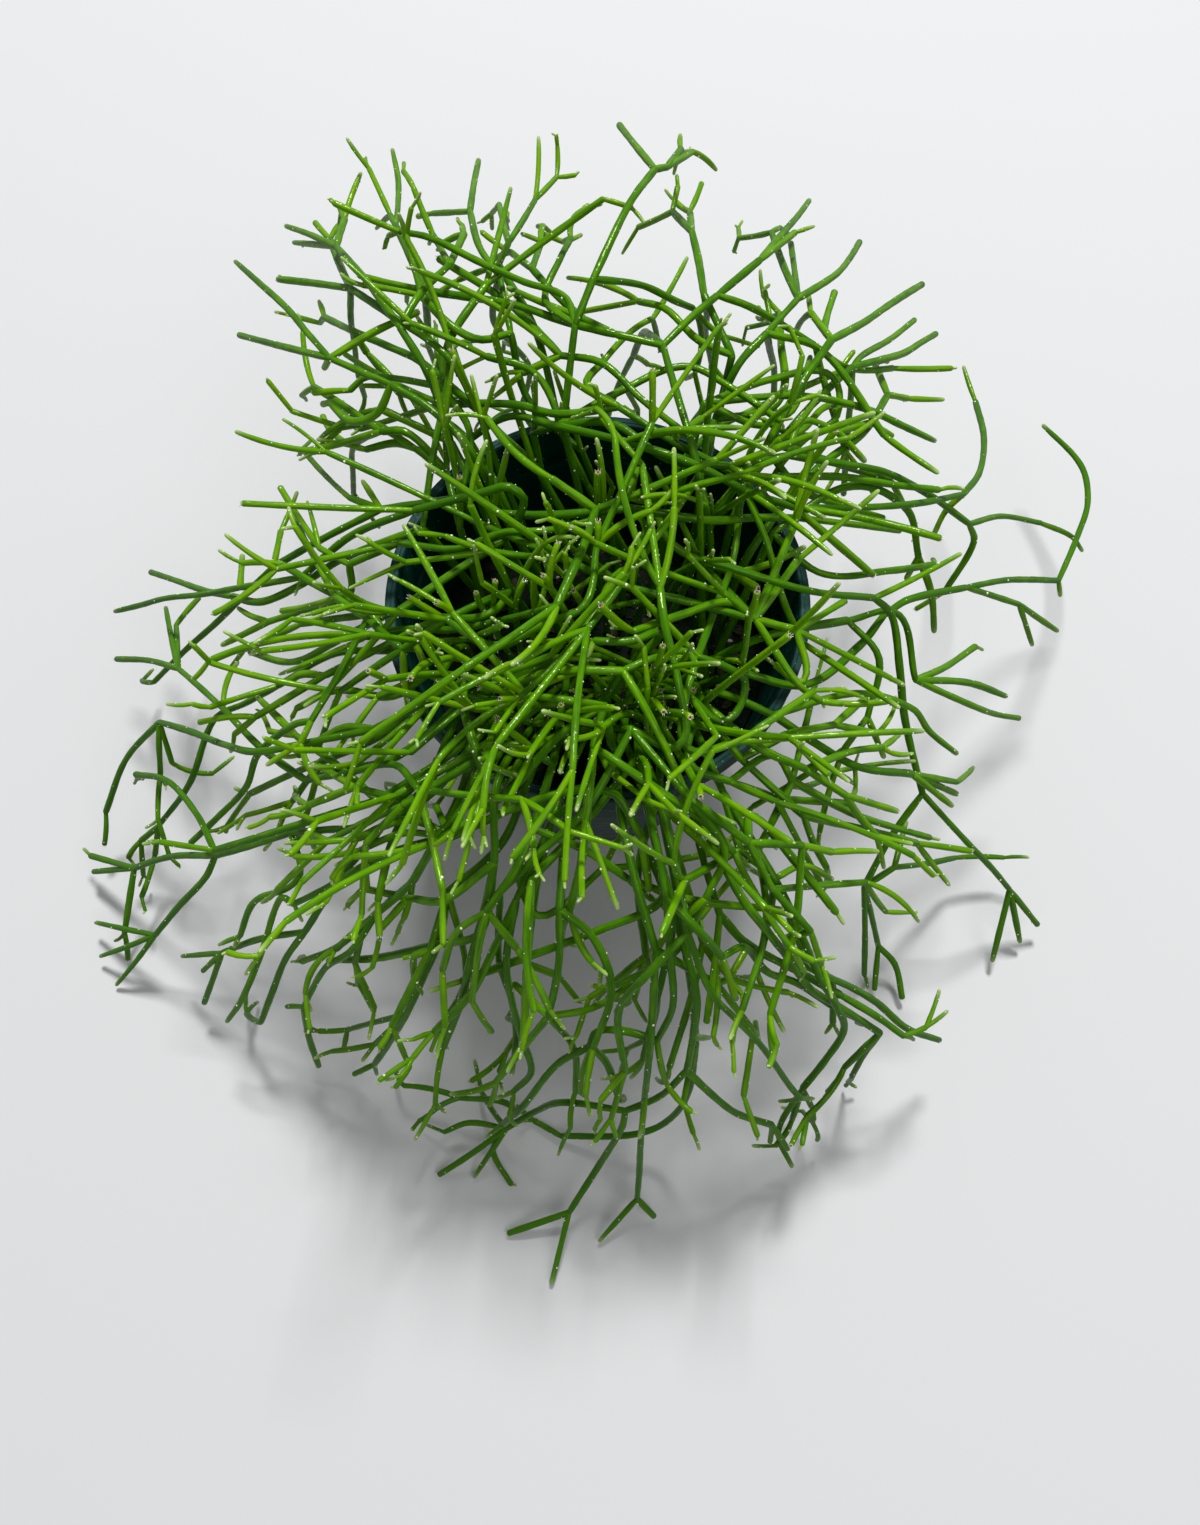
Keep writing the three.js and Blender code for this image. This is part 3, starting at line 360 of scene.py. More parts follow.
cell_colour = add(plastic, "ShaderNodeTexVoronoi", specks, "Color")
cell_number = add(plastic, "ShaderNodeSeparateColor", {"Color": cell_colour})
chosen = add(plastic, "ShaderNodeMath", {0: cell_number, 1: 1 - SPECK_SHARE}, operation="GREATER_THAN")
speck = add(plastic, "ShaderNodeMath", {0: speck, 1: chosen}, operation="MULTIPLY")
splashed = add(plastic, "ShaderNodeMapRange", {
    "Value": height, "From Min": SPLASH_LOW, "From Max": SPLASH_HIGH,
    "To Min": SPLASH_FAINT, "To Max": SPLASH_STRONG,
})
speck = add(plastic, "ShaderNodeMath", {0: speck, 1: splashed}, operation="MULTIPLY")

# %% Pot: worn moulded polypropylene, its greens, scuffs and painted lip highlight
SCUFF_SIZE = 7 * MM
# The lip's paler greens are a painted highlight on the top of the rim.
LIP_HIGHLIGHT_LOW, LIP_HIGHLIGHT_HIGH = (POT_HEIGHT - 1.2) * MM, (POT_HEIGHT - 0.35) * MM
WALL_GREENS = {0.3: "#062a22", 0.55: "#0a342b", 0.8: "#123e34"}
LIP_HIGHLIGHT_GREENS = {0.3: "#1c3c38", 0.55: "#2a4d48", 0.8: "#466460"}
scuffs = add(plastic, "ShaderNodeTexNoise", {
    "Vector": place, "Scale": 1 / SCUFF_SIZE, "Detail": 6.0, "Roughness": 0.62,
})
# Painted highlight: over the pot's top millimetre the colour switches to the paler lip greens, for the light
# that falls on the lip.
lip = add(plastic, "ShaderNodeMapRange", {"Value": height, "From Min": LIP_HIGHLIGHT_LOW, "From Max": LIP_HIGHLIGHT_HIGH})
# A Mix node takes its two colours at inputs 6 and 7, and gives the mixed one at output 2.
colour = add(plastic, "ShaderNodeMix", {
    "Factor": lip,
    6: add(plastic, "ShaderNodeValToRGB", {0: scuffs}, stops=WALL_GREENS),
    7: add(plastic, "ShaderNodeValToRGB", {0: scuffs}, stops=LIP_HIGHLIGHT_GREENS),
}, 2, data_type="RGBA")
lime = linear("#93a5a0")
colour = add(plastic, "ShaderNodeMix", {"Factor": speck, 6: colour, 7: lime}, 2, data_type="RGBA")
rough = add(plastic, "ShaderNodeMapRange", {
    "Value": scuffs, "From Min": 0.3, "From Max": 0.8, "To Min": 0.5, "To Max": 0.75,
})
bump = add(plastic, "ShaderNodeBump", {"Height": scuffs, "Strength": 0.25, "Distance": 0.08 * MM})
connect(plastic, shader, {"Base Color": colour, "Roughness": rough, "Normal": bump})
pot.data.materials.append(plastic)
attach(pot, "root")
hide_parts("pot")

# %% [markdown]
# The pot is filled with potting mix to a few centimetres below the rim. From above it is a dark,
# damp, crumbly surface. A square grid is squeezed into a disc, pushed up and down by noise of three
# sizes, and its edge is drawn down to the bottom of the pot to make one closed lump of soil.

# %% Soil: a lumpy disc, closed below
SOIL_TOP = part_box("soil")[1].z / MM
SOIL_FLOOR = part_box("soil")[0].z / MM
SOIL_GAP = 0.6
SOIL_GRID = 150
SOIL_DIP, EDGE_DIP, EDGE_DEPTH, SKIRT_DEPTH = 1.2, 1.4, 2, 6
LUMPS = ((11, 1.5), (3.4, 0.8), (1.3, 0.35))
soil_radius = wall_radius(SOIL_TOP - EDGE_DEPTH) - SOIL_GAP


def soil_height(x, y):
    """The height of the soil's surface, in mm, at a place in mm."""
    edge = min(1.0, math.hypot(x, y) / soil_radius)
    height = SOIL_TOP - SOIL_DIP - EDGE_DIP * edge ** 4
    for size, rise in LUMPS:
        height += rise * noise.noise((x / size, y / size, size))
    return height


shape = bmesh.new()
bmesh.ops.create_grid(shape, x_segments=SOIL_GRID, y_segments=SOIL_GRID, size=1)
for vertex in shape.verts:
    u, v = vertex.co.x, vertex.co.y
    x, y = u * math.sqrt(1 - v * v / 2) * soil_radius, v * math.sqrt(1 - u * u / 2) * soil_radius
    vertex.co = Vector((x, y, soil_height(x, y))) * MM
rim_edges = [edge for edge in shape.edges if edge.is_boundary]
for height in (SOIL_TOP - SKIRT_DEPTH, (SOIL_TOP + SOIL_FLOOR) / 2, SOIL_FLOOR):
    grown = bmesh.ops.extrude_edge_only(shape, edges=rim_edges)["geom"]
    for vertex in (part for part in grown if isinstance(part, bmesh.types.BMVert)):
        outward = vertex.co.xy.normalized() * (wall_radius(height) - SOIL_GAP)
        vertex.co = Vector((outward.x, outward.y, height)) * MM
    rim_edges = [part for part in grown if isinstance(part, bmesh.types.BMEdge) and part.is_boundary]
bmesh.ops.contextual_create(shape, geom=rim_edges)
soil = finish_mesh(shape, "potting_soil", smooth_angle=180)
print("soil:", len(soil.data.polygons), "faces, from", round(SOIL_FLOOR, 1), "to", round(SOIL_TOP, 1), "mm")

# %% [markdown]
# Loose bits lie on the surface: chips of bark, crumbs of peat and a few white grains of perlite.
# Each is a small icosphere, squashed and turned at random and half sunk in the soil. There are
# hundreds, so each has only 20 faces.

# %% Soil: bark chips, crumbs and perlite
CRUMB_KINDS = {
    "peat": {"count": 620, "size": (0.5, 1.5), "flat": 0.8, "tint": 0.15},
    "bark": {"count": 150, "size": (1.2, 3.0), "flat": 0.45, "tint": 0.5},
    "perlite": {"count": 34, "size": (0.6, 1.5), "flat": 0.85, "tint": 0.95},
}
CRUMB_REACH, CRUMB_LIFT = 0.97, 0.1
CRUMB_LEAN, CRUMB_NARROW = 0.5, (0.5, 0.9)
CRUMB_CHIPPING, TINT_SPREAD = 0.13, 0.05
chance = random.Random(11)
crumbs = bmesh.new()
tint_layer = crumbs.verts.layers.float.new("tint")
for facts in CRUMB_KINDS.values():
    for _ in range(facts["count"]):
        reach = soil_radius * CRUMB_REACH * math.sqrt(chance.random())
        turn = chance.uniform(0, 2 * math.pi)
        x, y = reach * math.cos(turn), reach * math.sin(turn)
        size = chance.uniform(*facts["size"])
        heading, lean = chance.uniform(0, 2 * math.pi), chance.uniform(-CRUMB_LEAN, CRUMB_LEAN)
        narrow = chance.uniform(*CRUMB_NARROW)
        lay = (
            Matrix.Translation(Vector((x, y, soil_height(x, y) + size * CRUMB_LIFT)) * MM)
            @ Matrix.Rotation(heading, 4, "Z")
            @ Matrix.Rotation(lean, 4, "X")
            @ Matrix.Diagonal((size * MM, size * MM * narrow, size * MM * facts["flat"] / 2, 1))
        )
        grown = bmesh.ops.create_icosphere(crumbs, subdivisions=1, radius=1, matrix=lay)
        for vertex in grown["verts"]:
            chips = [chance.uniform(-CRUMB_CHIPPING, CRUMB_CHIPPING) * size * MM for _ in range(3)]
            vertex.co += Vector(chips)
            vertex[tint_layer] = facts["tint"] + chance.uniform(-TINT_SPREAD, TINT_SPREAD)
crumb_piece = finish_mesh(crumbs, "soil_crumbs", smooth_angle=60)
print("soil:", sum(facts["count"] for facts in CRUMB_KINDS.values()), "loose bits")

# %% [markdown]
# Potting mix is peat with bark and a little sand. Damp, it is almost black and scatters light like
# a sponge, with no shine except where water films the crumbs. Moss has started to green it over.
# The loose bits share one dry, dull finish, which takes its tone from a number on each bit: dark for
# peat, brown for bark and pale for perlite.

# %% Soil: damp peat
MOSS_PATCH = 16 * MM
GRAIN = 0.8 * MM
BARE_TONES = {0.35: "#06120a", 0.55: "#0c1a0e", 0.72: "#1c2616"}
MOSSY_TONES = {0.35: "#0a0e06", 0.55: "#161d0b", 0.72: "#2a3614"}
peat, shader = new_material("damp peat", {"Roughness": 0.92, "IOR": 1.33, "Specular IOR Level": 0.25})
place = add(peat, "ShaderNodeTexCoord", {}, "Object")
moss, grain = (
    add(peat, "ShaderNodeTexNoise", {"Vector": place, "Scale": 1 / size, "Detail": detail, "Roughness": 0.7})
    for size, detail in ((MOSS_PATCH, 4.0), (GRAIN, 3.0))
)
colour = add(peat, "ShaderNodeMix", {
    "Factor": add(peat, "ShaderNodeMapRange", {"Value": moss, "From Min": 0.5, "From Max": 0.62}),
    6: add(peat, "ShaderNodeValToRGB", {0: grain}, stops=BARE_TONES),
    7: add(peat, "ShaderNodeValToRGB", {0: grain}, stops=MOSSY_TONES),
}, 2, data_type="RGBA")
bump = add(peat, "ShaderNodeBump", {"Height": grain, "Strength": 0.7, "Distance": 0.5 * MM})
connect(peat, shader, {"Base Color": colour, "Normal": bump})
soil.data.materials.append(peat)

# %% Soil: bark, peat crumbs and perlite
GRAIN_CONTRAST = 0.22
bits, shader = new_material("bark, peat crumbs and perlite", {
    "Roughness": 0.85, "IOR": 1.4, "Specular IOR Level": 0.3,
})
tint = add(bits, "ShaderNodeAttribute", {}, "Fac", attribute_name="tint")
place = add(bits, "ShaderNodeTexCoord", {}, "Object")
grain = add(bits, "ShaderNodeTexNoise", {"Vector": place, "Scale": 1 / GRAIN, "Detail": 2.0})
varied = add(bits, "ShaderNodeMath", {
    0: grain, 1: GRAIN_CONTRAST, 2: -GRAIN_CONTRAST / 2,
}, operation="MULTIPLY_ADD")
varied = add(bits, "ShaderNodeMath", {0: varied, 1: tint}, operation="ADD")
colour = add(bits, "ShaderNodeValToRGB", {0: varied}, stops={
    0.05: "#0a120a", 0.3: "#141b10", 0.5: "#27281c", 0.68: "#473f2f", 0.9: "#a9a69c",
})
connect(bits, shader, {"Base Color": colour})
crumb_piece.data.materials.append(bits)
for piece in (soil, crumb_piece):
    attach(piece, "root")
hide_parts("soil")

# %% [markdown]
# The plant has 58 rooted stems, named for the side that they trail to. Each is written down as its
# [x, y] place in the soil and then the [x, y, z] points that it passes through, in millimetres. A
# nested list is a branch that leaves the stem at the point before it.

# %% Stems: where each one runs
STEMS = {
    "stem_back_left_1": [[-12, 12], [-28, 25, 118], [-36, 31, 146], [-47, 42, 150], [-59, 50, 151],
        [[-64, 46, 143], [-73, 48, 136], [-81, 58, 131]], [-79, 64, 145], [[-96, 90, 134],
        [-122, 127, 112]], [[-83, 68, 135]], [[-66, 72, 148], [-53, 76, 152]], [-119, 100, 109]],
    "stem_back_left_2": [[-19, 23], [-32, 39, 122], [-37, 45, 143], [[-55, 64, 140], [-79, 86, 127],
          [[-75, 81, 123]], [-93, 105, 110]], [-44, 57, 151], [-61, 73, 150], [-75, 91, 140],
        [[-104, 114, 117]], [[-82, 101, 100], [-86, 108, 62]], [-89, 131, 116]],
    "stem_back_left_3": [[-27, 12], [-42, 46, 126], [[-63, 56, 128]], [-46, 54, 147], [-54, 65, 152],
        [[-49, 77, 152], [-42, 92, 147], [[-49, 111, 138]], [-40, 115, 134]], [-66, 85, 147],
      [-81, 112, 131], [[-105, 141, 108]], [[-104, 140, 102]], [-82, 133, 120]],
    "stem_back_left_4": [[-35, 2], [-44, 38, 124], [[-54, 46, 124], [[-68, 56, 122], [-79, 59, 116]],
        [-61, 50, 121], [-71, 51, 116]], [-55, 46, 132], [-64, 48, 130], [[-76, 59, 126],
        [-89, 73, 117]], [[-80, 62, 98], [-88, 70, 58]], [-91, 52, 113]],
    "stem_back_1": [[-3, 25], [-36, 62, 125], [-46, 78, 145], [-51, 84, 149], [[-56, 96, 108],
        [-55, 108, 66]], [-60, 110, 139], [-64, 121, 134], [[-67, 130, 129]], [-68, 157, 116],
      [-72, 176, 110]],
    "stem_back_2": [[6, 34], [-21, 60, 129], [-25, 71, 146], [[-34, 67, 147], [-42, 71, 147],
        [-51, 83, 145]], [-28, 89, 148], [[-33, 101, 112], [-24, 114, 70], [-29, 117, 42]],
      [-35, 104, 143], [-40, 128, 132], [[-55, 143, 115]], [-41, 173, 108]],
    "stem_back_3": [[12, 25], [-11, 47, 132], [-19, 73, 144], [-31, 101, 139], [-28, 112, 135],
        [[-33, 142, 119]], [-21, 144, 119]],
    "stem_back_4": [[0, 16], [-10, 41, 140], [[-18, 53, 148], [-32, 58, 149]], [-6, 62, 158],
        [[-15, 76, 153], [-11, 91, 152], [-8, 105, 145]], [[-9, 73, 155], [-21, 80, 152],
        [-50, 100, 147], [-59, 103, 146]], [-1, 73, 164], [[13, 80, 153], [23, 82, 144],
        [29, 85, 137]], [9, 98, 165], [17, 118, 158], [[7, 159, 135]], [21, 123, 154],
        [[30, 142, 141]], [26, 140, 144]],
    "stem_back_5": [[32, 8], [34, 9, 104], [30, 15, 142], [25, 31, 152], [[12, 45, 150], [1, 56, 152],
        [-11, 61, 150], [[-29, 89, 144], [-49, 107, 140]], [-22, 58, 146]], [18, 62, 151],
        [[4, 65, 152], [[-24, 79, 148], [-50, 88, 143], [-65, 94, 140], [-74, 99, 137]],
        [-7, 69, 152], [[-15, 80, 149], [-23, 94, 145], [[-21, 114, 134]], [-31, 112, 132]],
        [-22, 78, 149], [-32, 87, 144]], [[14, 92, 118], [8, 107, 74], [[15, 112, 48]],
        [2, 110, 38]], [27, 72, 151], [35, 81, 149], [[44, 80, 146], [54, 79, 140], [67, 77, 131],
          [[78, 48, 119]], [78, 75, 123], [87, 78, 117], [98, 86, 107]], [49, 99, 143],
        [[63, 122, 129]], [59, 121, 130], [73, 155, 108]],
    "stem_back_6": [[20, 32], [36, 53, 123], [40, 64, 144], [[30, 68, 146], [21, 78, 147],
        [13, 85, 142]], [32, 83, 147], [[36, 98, 110], [42, 108, 64], [35, 112, 34]],
      [30, 116, 136], [[25, 137, 122]], [31, 139, 120]],
    "stem_back_7": [[29, 24], [34, 52, 130], [[51, 55, 136], [53, 82, 132], [[51, 92, 127]],
        [54, 95, 127]], [40, 60, 143], [49, 70, 144], [[58, 84, 108], [66, 92, 60]], [[66, 69, 135],
        [84, 46, 125]], [60, 88, 137], [[57, 133, 115]], [[64, 132, 111]], [75, 108, 124],
      [89, 139, 104]],
    "stem_back_right_1": [[37, 16], [50, 40, 137], [[60, 46, 134], [70, 59, 129], [85, 66, 119]],
        [[69, 41, 127], [91, 40, 118]], [59, 56, 141], [68, 72, 137], [[64, 88, 129]],
        [[67, 79, 133], [73, 100, 124]], [81, 87, 126], [110, 126, 97]],
    "stem_back_right_2": [[22, 12], [52, 42, 128], [[61, 32, 124], [90, 31, 108]], [66, 58, 130],
      [79, 75, 125], [[83, 82, 121], [108, 114, 98]], [[84, 76, 92], [90, 74, 52]], [101, 95, 105],
      [118, 116, 88]],
    "stem_back_right_3": [[39, 1], [66, 36, 128], [81, 51, 124], [93, 74, 112], [[93, 95, 100]],
      [102, 79, 103]],
    "stem_back_right_4": [[18, 19], [30, 52, 140], [[51, 64, 135], [69, 68, 133], [72, 56, 132],
        [64, 49, 132]], [[46, 48, 135], [53, 51, 133], [61, 58, 130], [68, 79, 127]], [57, 57, 136],
      [78, 60, 126], [93, 61, 115], [107, 64, 102]],
    "stem_right_1": [[-20, 15], [-39, 50, 123], [-26, 48, 138], [-12, 38, 148], [7, 30, 152],
      [25, 24, 150], [40, 19, 144], [[46, 6, 140], [52, -8, 130], [58, -17, 122]], [55, 18, 136],
        [[82, 9, 112]], [73, 21, 130], [95, 29, 118], [116, 42, 100], [[112, 38, 95],
        [109, 32, 87]], [126, 57, 89], [134, 80, 75], [138, 105, 60]],
    "stem_right_2": [[-11, 30], [-20, 48, 130], [-12, 43, 142], [[25, 61, 145], [52, 44, 143]],
      [4, 40, 148], [20, 27, 150], [37, 26, 148], [55, 33, 141], [[59, 45, 140], [70, 46, 133],
          [[82, 54, 126]], [80, 42, 123]], [73, 34, 134], [89, 37, 124], [108, 40, 107],
      [123, 41, 91], [[127, 39, 81], [120, 28, 68]], [140, 53, 75], [160, 60, 58], [175, 60, 48],
      [181, 57, 42]],
    "stem_right_3": [[37, -8], [51, 17, 126], [[66, 7, 120], [89, 13, 110], [107, 22, 97]],
      [75, 33, 126], [96, 34, 111], [103, 26, 95], [[100, 21, 88]], [109, 18, 85], [113, 10, 71]],
    "stem_right_4": [[26, -19], [39, -28, 128], [58, -30, 123], [77, -14, 114], [86, -3, 111],
      [95, 4, 107], [118, 15, 93], [[143, 20, 70], [[154, 14, 49]], [165, 21, 46]], [135, 24, 80],
      [163, 36, 56], [[165, 32, 51]], [175, 58, 50], [182, 74, 46], [183, 92, 42], [174, 115, 34]],
    "stem_right_5": [[12, 6], [28, -6, 150], [56, -10, 140], [79, -4, 123], [86, -6, 115],
      [94, -30, 92], [103, -48, 73], [[95, -59, 63], [88, -73, 49], [[95, -96, 8]], [[99, -66, 47],
          [[105, -49, 45]], [128, -56, 20]], [99, -87, 16], [[99, -101, 5]], [106, -93, 10],
        [109, -104, 4]], [123, -60, 53], [144, -69, 26], [[142, -91, 5]], [[153, -84, 5]],
      [159, -78, 8]],
    "stem_right_6": [[15, -23], [48, -22, 134], [73, -11, 121], [[83, -20, 114], [81, -34, 103],
          [[74, -43, 100]], [88, -43, 91]], [91, -4, 110], [98, -19, 96], [[111, -10, 85],
        [125, 2, 74]], [[120, -13, 79], [138, -11, 62]], [122, -20, 76], [145, -15, 52]],
    "stem_right_7": [[24, -28], [48, -40, 126], [[73, -31, 118], [92, -31, 105], [99, -35, 96],
        [111, -38, 83]], [75, -51, 114], [95, -48, 97], [[112, -53, 79]], [[114, -45, 79]],
      [116, -47, 72]],
    "stem_right_8": [[5, -15], [25, -42, 140], [[34, -48, 138], [40, -38, 140], [34, -35, 146],
        [27, -33, 148], [[38, 2, 134], [41, 27, 136]], [20, -34, 150]], [41, -56, 131],
        [[53, -50, 130], [[63, -61, 126]], [68, -44, 121], [[80, -32, 112]], [83, -42, 108]],
      [59, -68, 121], [[63, -73, 111], [68, -78, 102]], [81, -66, 100], [101, -65, 81]],
    "stem_front_right_1": [[10, -31], [24, -70, 140], [[33, -97, 124], [[41, -102, 114],
          [61, -107, 93], [86, -116, 70], [96, -121, 61]], [29, -123, 105]], [36, -93, 133],
      [52, -105, 107], [[61, -111, 92], [73, -114, 77], [88, -119, 58], [[80, -128, 39]],
        [85, -130, 26]], [67, -109, 88], [86, -114, 63], [98, -120, 48], [114, -122, 28]],
    "stem_front_right_2": [[18, -16], [33, -66, 134], [[38, -81, 129], [[22, -93, 144]],
        [47, -87, 121], [[56, -82, 115], [66, -84, 106]], [[57, -102, 97]], [46, -96, 110],
        [44, -109, 95]], [48, -92, 120], [59, -109, 97], [71, -120, 70], [63, -136, 44],
        [[68, -141, 30]], [[62, -145, 26]], [58, -149, 22], [64, -160, 10]],
    "stem_front_right_3": [[6, -23], [16, -71, 144], [[22, -88, 131], [28, -104, 115],
          [[32, -109, 111]], [26, -115, 105], [20, -135, 83]], [24, -101, 134], [[14, -110, 129],
        [6, -118, 111], [8, -132, 88]], [31, -114, 117], [48, -126, 87], [60, -136, 60],
      [64, -139, 53]],
    "stem_front_right_4": [[27, -11], [31, -40, 134], [[27, -60, 139], [38, -66, 135],
          [[49, -55, 128], [53, -60, 124], [[73, -63, 103], [103, -63, 75]], [45, -77, 115],
          [[47, -99, 117], [40, -121, 113]]], [[58, -68, 120], [[62, -63, 116]], [80, -65, 105]],
        [52, -69, 126]], [44, -52, 134], [58, -55, 126], [[72, -47, 116], [83, -43, 108]],
      [70, -60, 116], [[89, -60, 99]], [75, -64, 107], [81, -68, 100]],
    "stem_front_right_5": [[5, -7], [11, -57, 148], [[23, -61, 147], [22, -47, 152], [18, -32, 158],
        [17, -22, 158]], [[-2, -76, 143], [-15, -85, 134], [-26, -93, 122], [[-28, -107, 95],
          [-25, -116, 82], [-24, -125, 71], [-26, -136, 57]]], [23, -74, 149], [[32, -83, 137],
        [27, -94, 129], [[19, -106, 112], [4, -112, 95]], [17, -101, 119]], [37, -83, 139],
        [[51, -81, 128], [[51, -101, 115], [45, -123, 103]], [60, -81, 121]], [[39, -74, 133],
        [64, -95, 110]], [44, -93, 128], [[60, -88, 108], [77, -84, 95]], [52, -101, 117],
        [[47, -103, 107], [66, -114, 78], [69, -124, 62]], [56, -108, 107]],
    "stem_front_1": [[2, -38], [13, -85, 136], [[13, -92, 126], [-20, -103, 105], [-43, -109, 91]],
      [25, -115, 111], [25, -134, 79], [[42, -145, 53], [55, -148, 37]], [18, -141, 64],
      [8, -145, 53], [[7, -150, 46], [0, -161, 24], [-10, -176, 10], [[-31, -183, 2]],
        [-16, -199, 2]], [-11, -142, 44], [-21, -144, 26], [-31, -149, 16], [[-55, -164, 2]],
        [[-44, -147, 12], [-53, -150, 8]], [[-43, -165, 2]], [[-29, -142, 22], [-47, -139, 16]],
      [-36, -156, 8], [-30, -167, 2]],
    "stem_front_2": [[-4, -22], [6, -75, 138], [19, -109, 125], [[37, -115, 105], [[41, -113, 101]],
        [49, -126, 87]], [18, -130, 92], [17, -140, 68], [16, -154, 40], [15, -170, 12],
        [[2, -184, 2]], [21, -176, 4]],
    "stem_front_3": [[12, -12], [11, -61, 146], [[-2, -75, 137], [-18, -90, 131]], [18, -97, 141],
        [[26, -104, 136], [35, -109, 125], [[44, -105, 117], [[52, -109, 102], [62, -110, 90],
          [87, -118, 62]]], [40, -118, 109]], [20, -120, 109], [16, -128, 94], [7, -125, 93],
      [-1, -124, 87], [-3, -127, 81], [[2, -131, 70], [6, -141, 54]], [-13, -131, 68],
      [-24, -142, 47], [-32, -147, 26]],
    "stem_front_4": [[-5, -30], [-7, -73, 132], [-8, -94, 126], [[1, -100, 119], [6, -112, 105],
        [1, -126, 87]], [-9, -107, 112], [-13, -120, 93], [[-23, -111, 93]], [[0, -117, 89],
        [12, -109, 85]], [[-6, -128, 70], [-6, -139, 53]], [-21, -127, 78], [-30, -136, 63]],
    "stem_front_5": [[20, -9], [14, -67, 130], [[9, -86, 126], [12, -106, 104], [[4, -111, 93]],
          [[9, -116, 89]], [16, -115, 89], [14, -126, 73]], [21, -103, 116], [28, -128, 72],
      [27, -141, 46], [20, -149, 24], [9, -152, 16], [-14, -152, 5]],
    "stem_front_6": [[2, -30], [-14, -74, 134], [[-19, -89, 121], [-23, -107, 97], [[-14, -109, 87]],
        [-25, -121, 73]], [[1, -71, 143], [11, -83, 137], [[19, -102, 115], [17, -115, 103],
          [12, -136, 79]], [14, -94, 126]], [-25, -93, 124], [[-40, -112, 97], [-52, -121, 82]],
      [-28, -106, 107], [-23, -133, 59], [-29, -138, 48]],
    "stem_front_7": [[-10, -8], [-10, -59, 138], [[-15, -77, 137], [[-19, -85, 130], [-15, -98, 122],
          [-10, -98, 120], [4, -85, 118]], [-2, -82, 135], [9, -88, 130], [[25, -93, 130],
          [51, -94, 123]], [17, -92, 124]], [[-20, -54, 142], [-34, -59, 138], [-48, -67, 135],
          [[-73, -72, 109], [[-78, -69, 105]], [-91, -82, 91]], [-59, -75, 126]], [-16, -82, 133],
      [-26, -94, 123], [[-35, -98, 114], [-40, -106, 101]], [[-19, -101, 110]], [-28, -100, 118],
      [-32, -114, 97]],
    "stem_front_left_1": [[-21, -29], [-39, -76, 130], [[-52, -72, 129], [-66, -76, 125]],
      [-52, -78, 124], [-63, -80, 114], [-89, -86, 89], [-95, -83, 83], [-115, -108, 45],
      [-124, -114, 30]],
    "stem_front_left_2": [[-11, -17], [-33, -69, 137], [-41, -76, 132], [[-47, -68, 133],
        [-64, -60, 125], [[-76, -51, 116]], [-79, -62, 114]], [-52, -84, 117], [-65, -89, 103],
        [[-80, -96, 85]], [-74, -98, 91], [-85, -101, 74], [-96, -110, 51], [-98, -126, 14]],
    "stem_front_left_3": [[-12, -34], [-26, -79, 123], [-41, -91, 111], [[-38, -112, 89],
        [-47, -126, 72]], [[-45, -104, 98], [[-50, -105, 94]], [-58, -123, 78]], [-46, -102, 93],
      [-59, -118, 64], [[-84, -119, 30]], [[-75, -130, 26]], [-72, -125, 43]],
    "stem_front_left_4": [[-4, -13], [-25, -65, 141], [-27, -84, 132], [[-33, -98, 110],
        [-48, -99, 97], [-68, -100, 79], [-87, -98, 62]], [[-43, -92, 120], [-56, -90, 110],
          [[-65, -97, 101]], [-71, -85, 99]], [-35, -106, 105], [-40, -116, 85], [-47, -126, 66]],
    "stem_front_left_5": [[-29, -25], [-41, -65, 123], [-55, -85, 109], [-71, -94, 93],
        [[-76, -103, 78]], [-81, -99, 82], [-95, -101, 67]],
    "stem_left_1": [[-25, -9], [-33, -37, 126], [[-14, -27, 123], [7, -24, 119], [[16, -44, 130],
          [25, -70, 149]]], [-55, -54, 123], [-85, -54, 108], [[-53, -57, 132], [-45, -66, 137]],
      [-102, -41, 97], [-118, -24, 85], [-141, -2, 65], [[-157, 32, 42]], [[-150, 22, 48]],
      [-157, 7, 51], [-175, 14, 36]],
    "stem_left_2": [[-33, -6], [-36, -19, 128], [-57, -20, 122], [[-66, -7, 122], [-80, 3, 115],
        [-94, 14, 109]], [-78, -17, 113], [-99, -22, 100], [-126, -25, 78], [-138, -40, 59],
      [-155, -49, 37], [[-164, -52, 28]], [-160, -56, 24]],
    "stem_left_3": [[-17, -13], [-35, -37, 134], [[-23, -40, 146], [-11, -37, 150]], [[-34, -48, 140],
        [-30, -61, 142], [-28, -67, 140]], [-60, -47, 125], [[-72, -44, 118], [-86, -49, 110]],
      [-98, -45, 103], [-128, -29, 77], [-145, -20, 62], [[-146, -24, 59], [-149, -33, 46]],
        [[-143, -31, 52]], [-164, -26, 40], [-177, -39, 20]],
    "stem_left_4": [[-22, -20], [-41, -48, 124], [-64, -63, 115], [[-76, -54, 114], [-91, -42, 106],
          [[-101, -38, 99]], [-107, -25, 95]], [-94, -67, 97], [-118, -68, 77], [-127, -54, 68],
      [-142, -39, 56], [-160, -31, 39]],
    "stem_left_5": [[-29, -16], [-43, -57, 125], [[-54, -75, 119], [-58, -92, 110]], [-64, -70, 114],
      [-91, -67, 93], [[-88, -80, 91], [-106, -84, 73], [-114, -92, 58]], [-122, -67, 66],
        [[-127, -72, 58], [-153, -85, 26], [[-182, -77, 8]], [[-180, -89, 5]], [-174, -99, 2]],
      [-140, -63, 50], [-163, -62, 28], [[-185, -54, 14]], [[-185, -59, 10]], [-170, -82, 12]],
